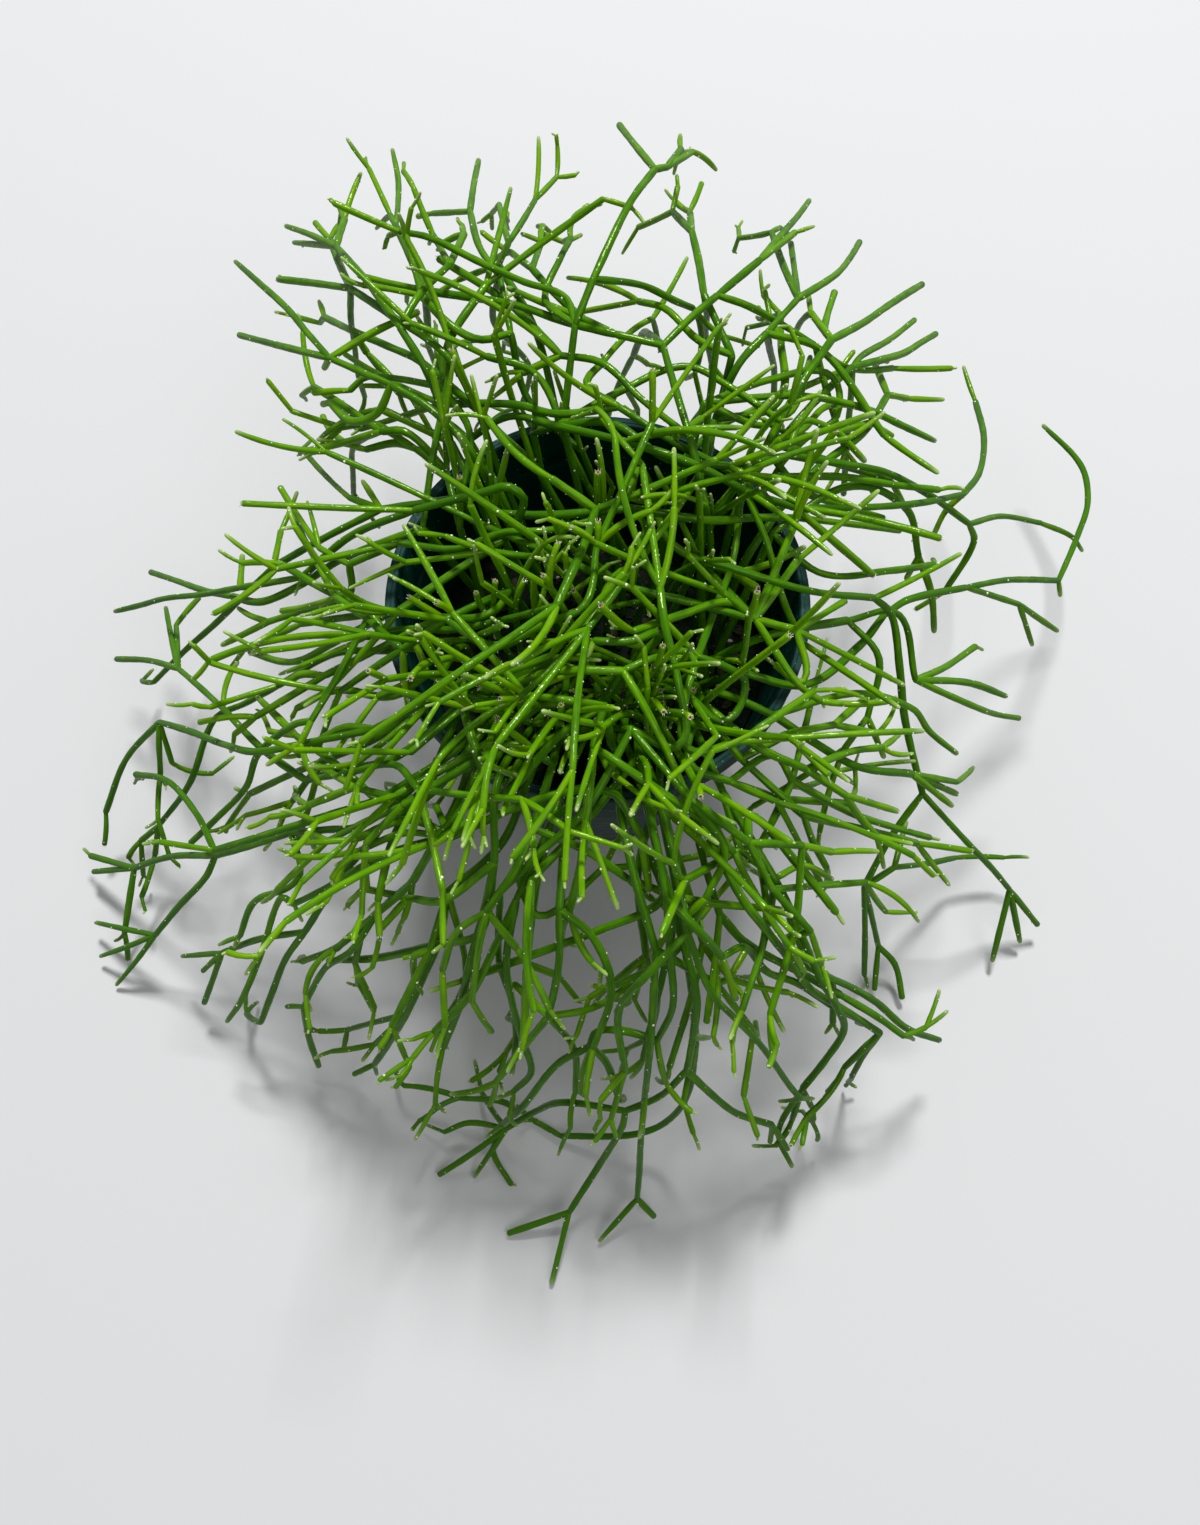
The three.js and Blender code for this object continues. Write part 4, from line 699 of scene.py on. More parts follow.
    "stem_left_6": [[-14, -25], [-43, -67, 128], [-59, -75, 118], [-76, -86, 97], [-89, -95, 76],
        [[-98, -101, 62], [-113, -117, 30]], [-108, -94, 59], [-125, -95, 41], [[-145, -93, 22]],
        [[-138, -108, 14]], [-135, -99, 28]],
    "stem_left_7": [[-35, 10], [-52, 17, 126], [[-44, 53, 143], [-43, 63, 147]], [-78, 13, 115],
      [-107, 7, 97], [-133, 21, 76], [-164, 43, 47]],
    "stem_left_8": [[-12, 2], [-27, 10, 132], [[-56, -12, 131]], [-20, 12, 150], [-24, 14, 154],
      [-29, 14, 152], [-52, 16, 138], [-73, 16, 123], [-90, 9, 110], [-113, 13, 95],
        [[-116, 29, 87]], [-148, 24, 65], [-176, 31, 40]],
    "stem_left_9": [[-29, 20], [-40, 24, 130], [[-36, 40, 138], [-43, 52, 143], [[-68, 65, 130],
          [-74, 63, 126]], [-40, 64, 146], [-29, 82, 147]], [-53, 26, 124], [-66, 28, 118],
        [[-77, 35, 113]], [[-73, 40, 115]], [-85, 24, 108], [-104, 21, 95], [[-104, 36, 91]],
      [-115, 17, 85], [-145, 10, 54], [-162, 6, 35]],
    "stem_left_10": [[-37, -13], [-48, -35, 120], [-66, -43, 110], [-83, -46, 99], [[-94, -54, 85]],
        [[-94, -47, 90], [-111, -48, 73]], [-87, -54, 90], [-96, -67, 71]],
    "stem_crown_1": [[34, -18], [30, 6, 128], [43, -18, 140], [[54, 7, 148]], [[55, -2, 144]],
        [[34, -13, 146]], [[6, -12, 148], [-10, -3, 146], [-25, 7, 140], [-37, 17, 132]],
        [[36, -15, 144], [23, -23, 152], [10, -31, 158]], [[55, -34, 133], [62, -37, 128]],
      [55, -20, 136], [[57, -34, 132], [49, -30, 134]], [71, -7, 128]],
    "stem_crown_2": [[-25, 0], [-30, 18, 132], [-12, 9, 146], [11, 10, 150], [[14, 0, 153],
        [10, -8, 154], [7, -16, 156], [-3, -32, 158]], [31, 10, 146], [58, 20, 130], [76, 23, 121],
      [94, 27, 110]],
    "stem_crown_3": [[3, 7], [-2, 6, 128], [[8, -11, 146], [9, -8, 152], [[4, -13, 156],
          [1, -21, 158]], [18, 6, 150], [29, 27, 142]], [-1, 10, 152], [[-13, 16, 158]],
        [[8, 12, 154], [[12, 23, 149], [20, 7, 138], [38, 0, 132]], [13, 13, 150]], [-4, -6, 162],
      [-11, -26, 166], [[-26, -19, 143], [-42, -17, 130], [-56, -16, 126], [-66, -19, 127]]],
    "stem_crown_4": [[-3, -3], [1, -41, 136], [[11, -32, 150], [15, -28, 156], [7, -32, 160],
        [-2, -32, 160], [[-21, -33, 140], [-35, -37, 133], [-52, -53, 135]], [-4, -36, 158]],
        [[-15, -43, 142], [[-32, -52, 132], [-53, -66, 134]], [-32, -38, 136], [-47, -29, 130],
          [[-58, -33, 123], [-76, -28, 115], [-89, -31, 108]], [-62, -33, 123]], [6, -40, 156],
        [[-6, -40, 156], [-15, -39, 150], [-26, -39, 138]], [[14, -37, 156], [24, -34, 150],
          [[22, -46, 150], [22, -59, 146], [36, -56, 142]]], [12, -51, 154], [18, -62, 147],
      [22, -71, 142]],
    "stem_crown_5": [[13, -2], [6, -51, 132], [5, -44, 148], [[-6, -44, 152], [-15, -42, 150]],
        [[-6, -51, 146], [[-20, -64, 138], [-38, -77, 137]]], [1, -56, 146], [[4, -60, 150],
        [20, -71, 146], [27, -75, 140], [35, -82, 133]], [-1, -66, 143], [[-18, -69, 139],
        [-41, -76, 132], [[-46, -66, 126]], [-54, -71, 125], [-68, -73, 115]], [-3, -82, 135],
      [-7, -94, 120]],
    "stem_crown_6": [[-17, -4], [-24, -7, 134], [[-30, -19, 142], [-44, -15, 134], [[-80, -24, 115],
          [[-88, -22, 111], [-93, -23, 107]], [-103, -32, 102]], [-61, -9, 124], [[-93, -2, 101],
          [-115, -3, 84]], [[-96, -12, 95], [-115, -2, 80]], [-73, -4, 118]], [-41, -19, 140],
        [[-26, -31, 150], [-13, -27, 156], [-3, -23, 158], [0, -5, 156]], [-53, -25, 134],
        [[-53, -35, 125]], [[-64, -28, 125], [-73, -31, 118]], [-64, -14, 130], [[-79, -42, 122],
          [[-85, -42, 118], [[-100, -44, 98], [-107, -50, 86], [-132, -61, 61]]], [-82, -48, 120]],
      [-75, -4, 123]],
    "stem_crown_7": [[8, 14], [1, 16, 138], [-14, 7, 148], [-27, 7, 146], [-39, 5, 140],
      [-58, 12, 130], [-73, 8, 124], [[-75, 4, 113], [-104, 3, 95], [[-111, 7, 91], [-117, 12, 87]],
        [-123, 1, 81]], [-83, 15, 121]],
    "stem_crown_8": [[21, 2], [34, 16, 130], [41, 22, 140], [[72, 33, 127], [104, 39, 111]],
      [20, 27, 150], [[29, 37, 146]], [5, 37, 152], [[-4, 46, 150], [1, 56, 148]], [-12, 36, 150],
      [-25, 42, 146], [-48, 50, 135]],
}

# %% [markdown]
# A stem written as a few points would be a stiff zigzag, so it is grown between them. Each span
# becomes a Hermite curve: it leaves one point and reaches the next in the direction that the stem
# has there, with a small chance bow in between. At a fork the stem kinks a little, as it does where
# one joint ends and the next ones start. Knots are left about 20 mm apart, each linked to the one
# before it.

# %% Stems: chance, directions and curves
# The frame's stems were grown with the same random numbers, so the two agree.
SEED, MULTIPLIER, MODULUS = 20261, 16807, 2 ** 31 - 1


def repeatable_shares(seed):
    """Endless repeatable random numbers from 0 to 1."""
    while True:
        seed = seed * MULTIPLIER % MODULUS
        yield seed / MODULUS


shares = repeatable_shares(SEED)


def unit(vector):
    """A vector scaled to a length of one."""
    return vector / max(np.linalg.norm(vector), 1e-9)


def is_point(item):
    """Whether an item of a path is a point, and not a branch."""
    return not isinstance(item[0], list)


def direction_at(line, index, chord, kink):
    """The direction of a line at one of its points, kinked by some share towards a straight chord."""
    smooth = unit(line[min(index + 1, len(line) - 1)] - line[max(index - 1, 0)])
    return smooth + (chord - smooth) * kink


def hermite(near, far, leave, arrive, t):
    """Places at shares t of the way along a curve that has a set direction at each end."""
    curve = near * (1 + 2 * t) * (1 - t) ** 2 + leave * t * (1 - t) ** 2
    return curve + far * t * t * (3 - 2 * t) + arrive * t * t * (t - 1)


# %% Stems: grow a path and its branches
STEM_BASE_RADIUS, STEM_TIP_RADIUS, TAPER_LENGTH = 1.25, 1.0, 170
FORK_KINK, PLAIN_KINK = 0.95, 0.35
KNOT_STEP = 21
RISE_SHARE = 0.5
BOW_SHARE, BOW_FROM_LENGTH = 0.03, 18
knots = []


def add_knot(place, parent, stem, fixed=False):
    """Adds one knot and returns its number."""
    along = 0.0
    if parent >= 0:
        along = knots[parent]["along"] + np.linalg.norm(knots[parent]["place"] - place)
    radius = STEM_TIP_RADIUS + (STEM_BASE_RADIUS - STEM_TIP_RADIUS) * math.exp(-along / TAPER_LENGTH)
    knots.append({
        "place": place, "parent": parent, "stem": stem, "fixed": fixed, "along": along, "radius": radius,
    })
    return len(knots) - 1


def grow_path(path, first, stem):
    """Grows a path from a knot, and then the branches that leave it."""
    line, forks, knot_of = [knots[first]["place"]], set(), [first]
    for item in path:
        if is_point(item):
            line.append(np.array(item, float))
        else:
            forks.add(len(line) - 1)
    for span, (start, end) in enumerate(zip(line, line[1:])):
        length, chord = np.linalg.norm(end - start), unit(end - start)
        leave, arrive = (
            direction_at(line, index, chord, FORK_KINK if index in forks else PLAIN_KINK) * length
            for index in (span, span + 1)
        )
        if span == 0 and knots[first]["fixed"]:
            leave = unit(chord + np.array((0, 0, RISE_SHARE))) * length
        bow = np.array([next(shares) - 0.5 for _ in range(3)])
        bow = bow * (0 if length < BOW_FROM_LENGTH else length * BOW_SHARE)
        steps = max(1, math.floor(length / KNOT_STEP + 0.5))
        last = knot_of[span]
        for t in (step / steps for step in range(1, steps + 1)):
            place = hermite(start, end, leave, arrive, t)
            last = add_knot(place + bow * 4 * t * (1 - t), last, stem)
        knot_of.append(last)
    reached = 0
    for item in path:
        if is_point(item):
            reached += 1
        else:
            grow_path(item, knot_of[reached], stem)


# %% Stems: grow them all from the soil
SOIL_LEVEL = 77
PLANTED_DEPTH, UPRIGHT_LENGTH = 12, 8
CLIMB_REACH, CLIMB_MARGIN, CLIMB_HEIGHT = 46, 10, 124


def climb(root, target):
    """The point that a stem climbs to inside the rim, where its first point is well outside."""
    near, far = math.hypot(*root), math.hypot(*target[:2])
    if far < CLIMB_REACH + CLIMB_MARGIN:
        return []
    share = (CLIMB_REACH - near) / (far - near)
    x, y = (start + (end - start) * share for start, end in zip(root, target))
    return [[x, y, CLIMB_HEIGHT]]


for stem, (name, (root, *path)) in enumerate(STEMS.items()):
    foot = add_knot(np.array((*root, SOIL_LEVEL - PLANTED_DEPTH), float), -1, stem, fixed=True)
    collar = add_knot(np.array((*root, SOIL_LEVEL + UPRIGHT_LENGTH), float), foot, stem, fixed=True)
    grow_path(climb(root, path[0]) + path, collar, stem)
print("stems:", len(STEMS), "with", len(knots), "knots")

# %% [markdown]
# Nothing so far keeps the stems from running through each other. Real stems rest side by side, so
# the knots are now eased apart: in 260 small rounds, each pair of links that comes too close is
# pushed apart, each link that touches the pot or the table is pushed off it, and every knot's shift
# is blended with its neighbours' shifts so that the curves stay fair. NumPy does each round for all
# the knots at once, which is much faster than a Python loop.

# %% Ease: gather the knots, and find the links that come near
# The frame's stems are square tubes, whose corners are this many radii from the middle.
FACET_GROWTH = 1.15
SEARCH_MARGIN = 9
start = np.array([knot["place"] for knot in knots])
parent = np.array([knot["parent"] for knot in knots])
radius = np.array([knot["radius"] for knot in knots])
free = np.array([not knot["fixed"] for knot in knots])
place = start.copy()
links = np.flatnonzero(parent >= 0)
link_count = np.bincount(links, minlength=len(knots)) + np.bincount(parent[links], minlength=len(knots))


def near_pairs():
    """Pairs of links near enough to meet. A link is named by the knot at its far end."""
    near, far = place[parent[links]], place[links]
    middle, half = (near + far) / 2, np.linalg.norm(far - near, axis=1) / 2
    found = []
    for one in range(len(links) - 1):
        reach = half[one] + half[one + 1:] + SEARCH_MARGIN
        others = one + 1 + np.flatnonzero(np.linalg.norm(middle[one + 1:] - middle[one], axis=1) <= reach)
        if len(others):
            found.append(np.stack([np.full(len(others), links[one]), links[others]], 1))
    pairs = np.concatenate(found)
    joined = np.zeros(len(pairs), bool)
    for end in (pairs[:, 0], parent[pairs[:, 0]]):
        for other in (pairs[:, 1], parent[pairs[:, 1]]):
            joined |= (end == other) | (parent[end] == other) | (parent[other] == end)
    return pairs[~joined]


# %% Ease: push links apart
STEM_CLEARANCE, EASE_SHARE, TOO_CLOSE = 0.9, 0.5, 1e-6


def add_moves(moves, rows, values):
    """Adds vectors to rows of an array in which a row may come up more than once."""
    for axis in range(3):
        moves[:, axis] += np.bincount(rows, values[:, axis], minlength=len(moves))


def push_pairs(moves, pairs):
    """Pushes apart the ends of links that run too close to each other."""
    a, b = pairs.T
    c, d = parent[a], parent[b]
    u, v, w = place[a] - place[c], place[b] - place[d], place[c] - place[d]
    uu, uv, vv = (u * u).sum(1), (u * v).sum(1), (v * v).sum(1)
    uw, vw = (u * w).sum(1), (v * w).sum(1)
    # The two links of a pair are nearest to each other at shares s and t of the way along them.
    flat = uu * vv - uv * uv
    skew = flat > TOO_CLOSE
    s = np.where(skew, np.clip((uv * vw - vv * uw) / np.where(skew, flat, 1), 0, 1), 0.5)
    t = np.clip((uv * s + vw) / vv, 0, 1)
    s = np.clip((uv * t - uw) / uu, 0, 1)
    away = w + u * s[:, None] - v * t[:, None]
    distance = np.linalg.norm(away, axis=1)
    wanted = (radius[a] + radius[b]) * FACET_GROWTH + STEM_CLEARANCE
    close = (distance < wanted) & (distance >= TOO_CLOSE)
    push = (wanted - distance) / np.maximum(distance, TOO_CLOSE) * EASE_SHARE
    away = away * np.where(close, push, 0)[:, None]
    for rows, part in ((a, s), (c, 1 - s), (b, -t), (d, t - 1)):
        add_moves(moves, rows, away * part[:, None])


# %% [markdown]
# The pot is round, so a link only has to be kept off half of its outline. Two straight bars stand
# for that, one for the wall and one for the rim, each given by its two ends and half its thickness.

# %% Ease: push links off the pot and the table
WALL_CLEARANCE, FLOOR_CLEARANCE = 0.8, 0.3
TESTED_SHARES = (0.25, 0.5, 0.75, 1)
band_middle = RIM_RADIUS - RIM_BAND_WIDTH / 2
POT_WALLS = (
    ((BASE_RADIUS - WALL / 2, 0), (RIM_RADIUS - RIM_BAND_WIDTH, POT_HEIGHT), WALL / 2),
    ((band_middle, POT_HEIGHT - RIM_BAND_HEIGHT), (band_middle, POT_HEIGHT - RIM_EDGE), RIM_BAND_WIDTH / 2),
)


def push_off_pot(moves):
    """Pushes links off the pot's wall and rim, and off the table."""
    near, far = place[parent[links]], place[links]
    for share in TESTED_SHARES:
        spot = near + (far - near) * share
        rho = np.maximum(np.hypot(spot[:, 0], spot[:, 1]), TOO_CLOSE)
        push = np.zeros_like(spot)
        for low, high, half in POT_WALLS:
            lean, rise = high[0] - low[0], high[1] - low[1]
            level = ((rho - low[0]) * lean + (spot[:, 2] - low[1]) * rise) / (lean ** 2 + rise ** 2)
            level = np.clip(level, 0, 1)
            out, up = rho - low[0] - lean * level, spot[:, 2] - low[1] - rise * level
            distance = np.maximum(np.hypot(out, up), TOO_CLOSE)
            wanted = half + radius[links] * FACET_GROWTH + WALL_CLEARANCE
            scale = np.where(distance < wanted, (wanted - distance) / distance, 0)
            push += np.stack([spot[:, 0] / rho * out, spot[:, 1] / rho * out, up], 1) * scale[:, None]
        floor_level = radius[links] * FACET_GROWTH + FLOOR_CLEARANCE
        push[:, 2] += np.maximum(floor_level - spot[:, 2], 0)
        add_moves(moves, links, push * EASE_SHARE * share)
        add_moves(moves, parent[links], push * EASE_SHARE * (1 - share))


# %% Ease: run the rounds
EASE_ROUNDS, SEARCH_EVERY, SMOOTH_SHARE = 260, 10, 0.12
for ease_round in range(EASE_ROUNDS):
    if ease_round % SEARCH_EVERY == 0:
        pairs = near_pairs()
    moves = np.zeros_like(place)
    push_pairs(moves, pairs)
    push_off_pot(moves)
    place[free] += moves[free]
    shifts, sums = place - start, np.zeros_like(place)
    add_moves(sums, links, shifts[parent[links]])
    add_moves(sums, parent[links], shifts[links])
    blended = shifts + (sums / link_count[:, None] - shifts) * SMOOTH_SHARE
    place[free] = start[free] + blended[free]

# %% Ease: measure every stem's box against the frame
stem_of = np.array([knot["stem"] for knot in knots])
along = np.array([knot["along"] for knot in knots])
worst = 0
for stem, name in enumerate(STEMS):
    mine = stem_of == stem
    low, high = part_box(name)
    skin_depth = radius[mine, None] * FACET_GROWTH
    reach = (place[mine] + skin_depth).max(0) * MM, (place[mine] - skin_depth).min(0) * MM
    worst = max(worst, np.abs(reach[0] - np.array(high)).max(), np.abs(reach[1] - np.array(low)).max())
print("stems: every box within", round(worst / MM, 2), "mm of its place in the frame")

# %% [markdown]
# A stem isn't one long pipe. It is a chain of joints, each one spurt of growth, with a narrow waist
# where one ends and the next ones start. So each line of knots is cut into joints: at every fork,
# and every few centimetres on long plain runs. A joint follows a smooth curve through its knots,
# kept as a list of finely spaced points.

# %% Joints: cut a line, and curve its pieces
LONG_JOINT, LONG_JOINT_SPREAD = 62, (0.6, 1.2)
SHORT_REST, PLAIN_FOOT = 26, 45
FINE_STEP, FEWEST_STEPS = 0.7, 3
children = [[] for _ in knots]
for knot in links:
    children[parent[knot]].append(knot)


def line_from(first):
    """The knots of one line: where it leaves, its first knot, and all that follow straight on."""
    line = [parent[first], first]
    while line[-1] + 1 < len(knots) and parent[line[-1] + 1] == line[-1]:
        line.append(line[-1] + 1)
    return line


def cut_line(line, chance):
    """Cuts a line of knots into joints at its forks and on its long plain runs."""
    pieces, piece, run = [], [line[0]], 0
    for before, knot in zip(line, line[1:-1]):
        piece.append(knot)
        run += np.linalg.norm(place[knot] - place[before])
        forks = len(children[knot]) > 1 and along[knot] > PLAIN_FOOT
        long_run = run > LONG_JOINT * chance.uniform(*LONG_JOINT_SPREAD)
        if forks or long_run and along[line[-1]] - along[knot] > SHORT_REST:
            pieces.append(piece)
            piece, run = [knot], 0
    return pieces + [piece + [line[-1]]]


def smooth_curve(piece, line):
    """Points about FINE_STEP apart on a Hermite curve through a piece's knots."""
    route, ends, points = place[line], (piece[0], piece[-1]), []
    for first, last in zip(piece, piece[1:]):
        near, far = place[first], place[last]
        length, chord = np.linalg.norm(far - near), unit(far - near)
        leave, arrive = (
            direction_at(route, line.index(knot), chord, FORK_KINK if knot in ends else 0) * length
            for knot in (first, last)
        )
        t = np.linspace(0, 1, max(FEWEST_STEPS, round(length / FINE_STEP)) + 1)[:, None]
        curve = hermite(near, far, leave, arrive, t)
        points.append(curve if not points else curve[1:])
    return np.concatenate(points)


# %% Joints: cut every line
THICKNESS_SPREAD = (0.9, 1.1)
chance = random.Random(2)
joints, done = [], set()
for first in links:
    if first not in done:
        line = line_from(first)
        done.update(line[1:])
        for piece in cut_line(line, chance):
            joints.append({
                "stem": int(stem_of[first]), "points": smooth_curve(piece, line),
                "root": int(piece[0]), "tip": int(piece[-1]), "twig": False, "old": False,
                "radius": float(radius[piece].mean()) * chance.uniform(*THICKNESS_SPREAD),
            })
print("joints:", len(joints), "on the main stems")

# %% [markdown]
# The plant has far more growth than its main branches: fresh twigs at nearly every tip and fork,
# and, deep in the crown, thick old stubs that stopped growing long ago. They are grown by chance in
# five rounds, the longest first, and later rounds grow on the twigs of earlier ones, as on the real
# plant. A twig is only kept if it stays clear of every other stem, the pot and the table. To test
# that fast, every point on every joint is filed in a grid of small boxes, so that a twig is only
# compared with what is filed near it.

# %% Twigs: what each round grows
# Lengths and radii are in mm. The spread is the angle between a twig and its joint, in degrees.
OLD_STUBS = {
    "tries": 330, "length": (6, 26), "radius": (1.0, 1.14), "spread": (5, 35),
    "crown": 90, "lift": 1.1, "old": True,
}
TWIG_ROUNDS = (
    {"tries": 2700, "length": (20, 50), "radius": (0.88, 1.06), "spread": (14, 42), "crown": 6},
    OLD_STUBS,
    {"tries": 1700, "length": (12, 32), "radius": (0.76, 0.96), "spread": (16, 44), "crown": 5},
    {"tries": 800, "length": (6, 18), "radius": (0.66, 0.84), "spread": (18, 46), "crown": 3},
    {"tries": 900, "length": (2.2, 5), "radius": (0.6, 0.76), "spread": (20, 50), "crown": 0.6, "lift": 0.1},
)
print("twigs:", sum(facts["tries"] for facts in TWIG_ROUNDS), "tries in", len(TWIG_ROUNDS), "rounds")

# %% Twigs: file every joint in a grid
GRID = 4.0
filed, at_node = {}, {}


def cell_of(point):
    """The box of the grid that a point is in."""
    return tuple(int(value // GRID) for value in point)


def file_joint(number):
    """Files a joint's points in the grid."""
    for point in joints[number]["points"][::2]:
        filed.setdefault(cell_of(point), []).append((point, number))


for number, joint in enumerate(joints):
    file_joint(number)
    at_node.setdefault(joint["tip"], set()).add(number)
    at_node.setdefault(joint["root"], set()).add(number)
print("twigs:", len(filed), "grid boxes have stems in them")

# %% Twigs: find out whether one has room
SOIL_ROOM, OPEN_ROOM = 4, 0.6
TWIG_STEP, TWIG_CLEARANCE, FORK_ROOM = 1.6, 0.35, 4
BOX_MARGIN = 6.5
box_low, box_high = np.array(frame_box[0]) / MM - BOX_MARGIN, np.array(frame_box[1]) / MM + BOX_MARGIN


def in_the_open(point, reach):
    """Whether a point, with some room round it, is clear of the pot, the soil and the table."""
    rho, height = math.hypot(point[0], point[1]), point[2]
    if height > POT_HEIGHT + reach:
        return True
    wall = wall_radius(min(height, POT_HEIGHT - RIM_EDGE))
    inside = rho < wall - reach and height > SOIL_LEVEL + SOIL_ROOM
    return height > reach and (inside or rho > wall + RIM_BAND_WIDTH + reach)


def is_clear(points, reach, joined):
    """Whether a twig stays clear of the pot and of all joints but those it is joined to."""
    for step, point in enumerate(points[1:], 1):
        if (point < box_low).any() or (point > box_high).any():
            return False
        if not in_the_open(point, reach + OPEN_ROOM):
            return False
        i, j, k = cell_of(point)
        for near in ((i + a, j + b, k + c) for a in (-1, 0, 1) for b in (-1, 0, 1) for c in (-1, 0, 1)):
            for other, number in filed.get(near, ()):
                if number in joined and step * TWIG_STEP < FORK_ROOM:
                    continue
                room = reach + joints[number]["radius"] + TWIG_CLEARANCE
                x, y, z = other - point
                if x * x + y * y + z * z < room * room:
                    return False
    return True


# %% Twigs: turn and bend one
TWIG_BEND = 0.8


def twig_points(base, heading, length, chance):
    """Points on a gently bent twig that leaves a base with some heading."""
    points = [base]
    steps = max(FEWEST_STEPS, round(length / TWIG_STEP))
    bend = np.array([chance.uniform(-1, 1) for _ in range(3)]) * chance.uniform(0, TWIG_BEND) / steps
    for _ in range(steps):
        heading = unit(heading + bend)
        points.append(points[-1] + heading * length / steps)
    return np.array(points)


def turned(heading, degrees, chance):
    """A heading turned by some degrees, to a side chosen by chance."""
    side = unit(np.cross(heading, [chance.gauss(0, 1) for _ in range(3)]))
    return heading * math.cos(math.radians(degrees)) + side * math.sin(math.radians(degrees))


# %% [markdown]
# Which joint a twig grows on is drawn by lot, and some joints get more lots than others. All the
# places in the crown are likely, those near its heart the most. Further out it depends on the side:
# the list of 16 numbers goes once round the pot, anticlockwise from its right, as seen from above.

# %% Twigs: choose the joints that carry them
CROWN_REACH, OUTER_REACH = 62, 92
CROWN_HEART, CROWN_SPREAD = (-4, -26), 32
OPEN_FAVOUR, OUTER_FAVOUR = 0.25, 0.28
FULLNESS = (0.05, 0.2, 0.5, 1.0, 1.4, 1.4, 0.9, 0.1, 0.3, 1.2, 1.3, 1.3, 1.25, 1.0, 0.6, 0.1)
SECTOR = 15


def reach_of(joint):
    """How far from the pot's axis a joint ends, in mm."""
    return math.hypot(*joint["points"][-1][:2])


def favour(joint, crown):
    """How likely a joint is to carry a twig: likely in the crown, less so far out, never if old."""
    if joint["old"]:
        return 0
    if reach_of(joint) < CROWN_REACH:
        off = math.dist(joint["points"][-1][:2], CROWN_HEART)
        return OPEN_FAVOUR + crown * math.exp(-((off / CROWN_SPREAD) ** 2))
    side = math.degrees(math.atan2(joint["points"][-1][1], joint["points"][-1][0])) % 360
    full = float(np.interp(side, np.linspace(0, 360, len(FULLNESS) + 1), FULLNESS + FULLNESS[:1]))
    return full * (OUTER_FAVOUR if reach_of(joint) > OUTER_REACH else 1)


def sector_of(point):
    """The number of the sector round the pot that a point is in."""
    return int(math.degrees(math.atan2(point[1], point[0])) % 360 / SECTOR)


furthest = {}
for joint in joints:
    for point in joint["points"][::4]:
        furthest[sector_of(point)] = max(furthest.get(sector_of(point), 0), math.hypot(point[0], point[1]))
print("twigs: kept inside", round(min(furthest.values())), "to", round(max(furthest.values())), "mm")

# %% Twigs: grow them
TWIG_LIFT = 0.35
THINNER = 0.95
OUTER_LENGTH = 0.45
MOST_AT_A_NODE, MOST_IN_THE_CROWN = 3, 4
INSIDE = 3
for facts in TWIG_ROUNDS:
    hosts = len(joints)
    weights = [favour(joint, facts["crown"]) for joint in joints]
    for joint in chance.choices(joints, weights=weights, k=facts["tries"]):
        base = joint["points"][-1]
        length = chance.uniform(*facts["length"])
        spread = chance.uniform(*facts["spread"])
        twig_radius = min(joint["radius"] * THINNER, chance.uniform(*facts["radius"]))
        most = MOST_IN_THE_CROWN if reach_of(joint) < CROWN_REACH else MOST_AT_A_NODE
        if len(at_node[joint["tip"]]) >= most:
            continue
        heading = turned(unit(base - joint["points"][-4]), spread, chance)
        if reach_of(joint) < CROWN_REACH:
            heading = unit(heading + np.array((0, 0, facts.get("lift", TWIG_LIFT))))
        if reach_of(joint) > OUTER_REACH:
            length *= OUTER_LENGTH
        points = twig_points(base, heading, length, chance)
        too_far = math.hypot(*points[-1][:2]) > furthest[sector_of(points[-1])] - INSIDE
        if too_far or not is_clear(points, twig_radius, at_node[joint["tip"]]):
            continue
        # A twig's tip is a node too. Its number is below zero, so that it is never a knot's number.
        node = -len(joints) - 1
        joints.append({
            "stem": joint["stem"], "points": points, "root": joint["tip"], "tip": node,
            "twig": True, "old": "old" in facts, "radius": twig_radius,
        })
        file_joint(len(joints) - 1)
        at_node[joint["tip"]].add(len(joints) - 1)
        at_node[node] = {len(joints) - 1}
    print("twigs:", len(joints) - hosts, "grown,", facts["length"][0], "to", facts["length"][1], "mm long")

# %% [markdown]
# How a joint looks depends on its age, and that shows in how much has grown from it. So for each
# joint the longest way on to a tip is found, by a function that calls itself for the joints beyond.

# %% Joints: their length, and the growth beyond them
for joint in joints:
    joint["length"] = float(np.linalg.norm(np.diff(joint["points"], axis=0), axis=1).sum())
starts_at = {}
for number, joint in enumerate(joints):
    starts_at.setdefault(joint["root"], []).append(number)


def growth_beyond(number):
    """The longest way from a joint's start to a tip, in mm. Young growth has little beyond it."""
    joint = joints[number]
    if "beyond" not in joint:
        follow = starts_at.get(joint["tip"], [])
        joint["last"] = not follow
        joint["beyond"] = joint["length"] + max([growth_beyond(other) for other in follow], default=0)
    return joint["beyond"]


total = sum(joint["length"] for number, joint in enumerate(joints) if growth_beyond(number))
print("joints:", len(joints), "in all,", round(total / 1000, 1), "m of stem")

# %% [markdown]
# Now the joints get their skin. A curve with a round bevel makes a tube whose thickness can change
# at every point, so a joint's outline is a list of stations: how far along, and how thick. The
# ends close in a dome, and reach a little past the node so that neighbours fuse at a narrow waist.
# All the joints of one stem are splines of one curve, which is then turned into a mesh. The tiny
# ring at each end of a joint is merged to one vertex, so that every joint is a closed shell.

# %% Skin: stations along a joint
STATION_STEP = 2.5
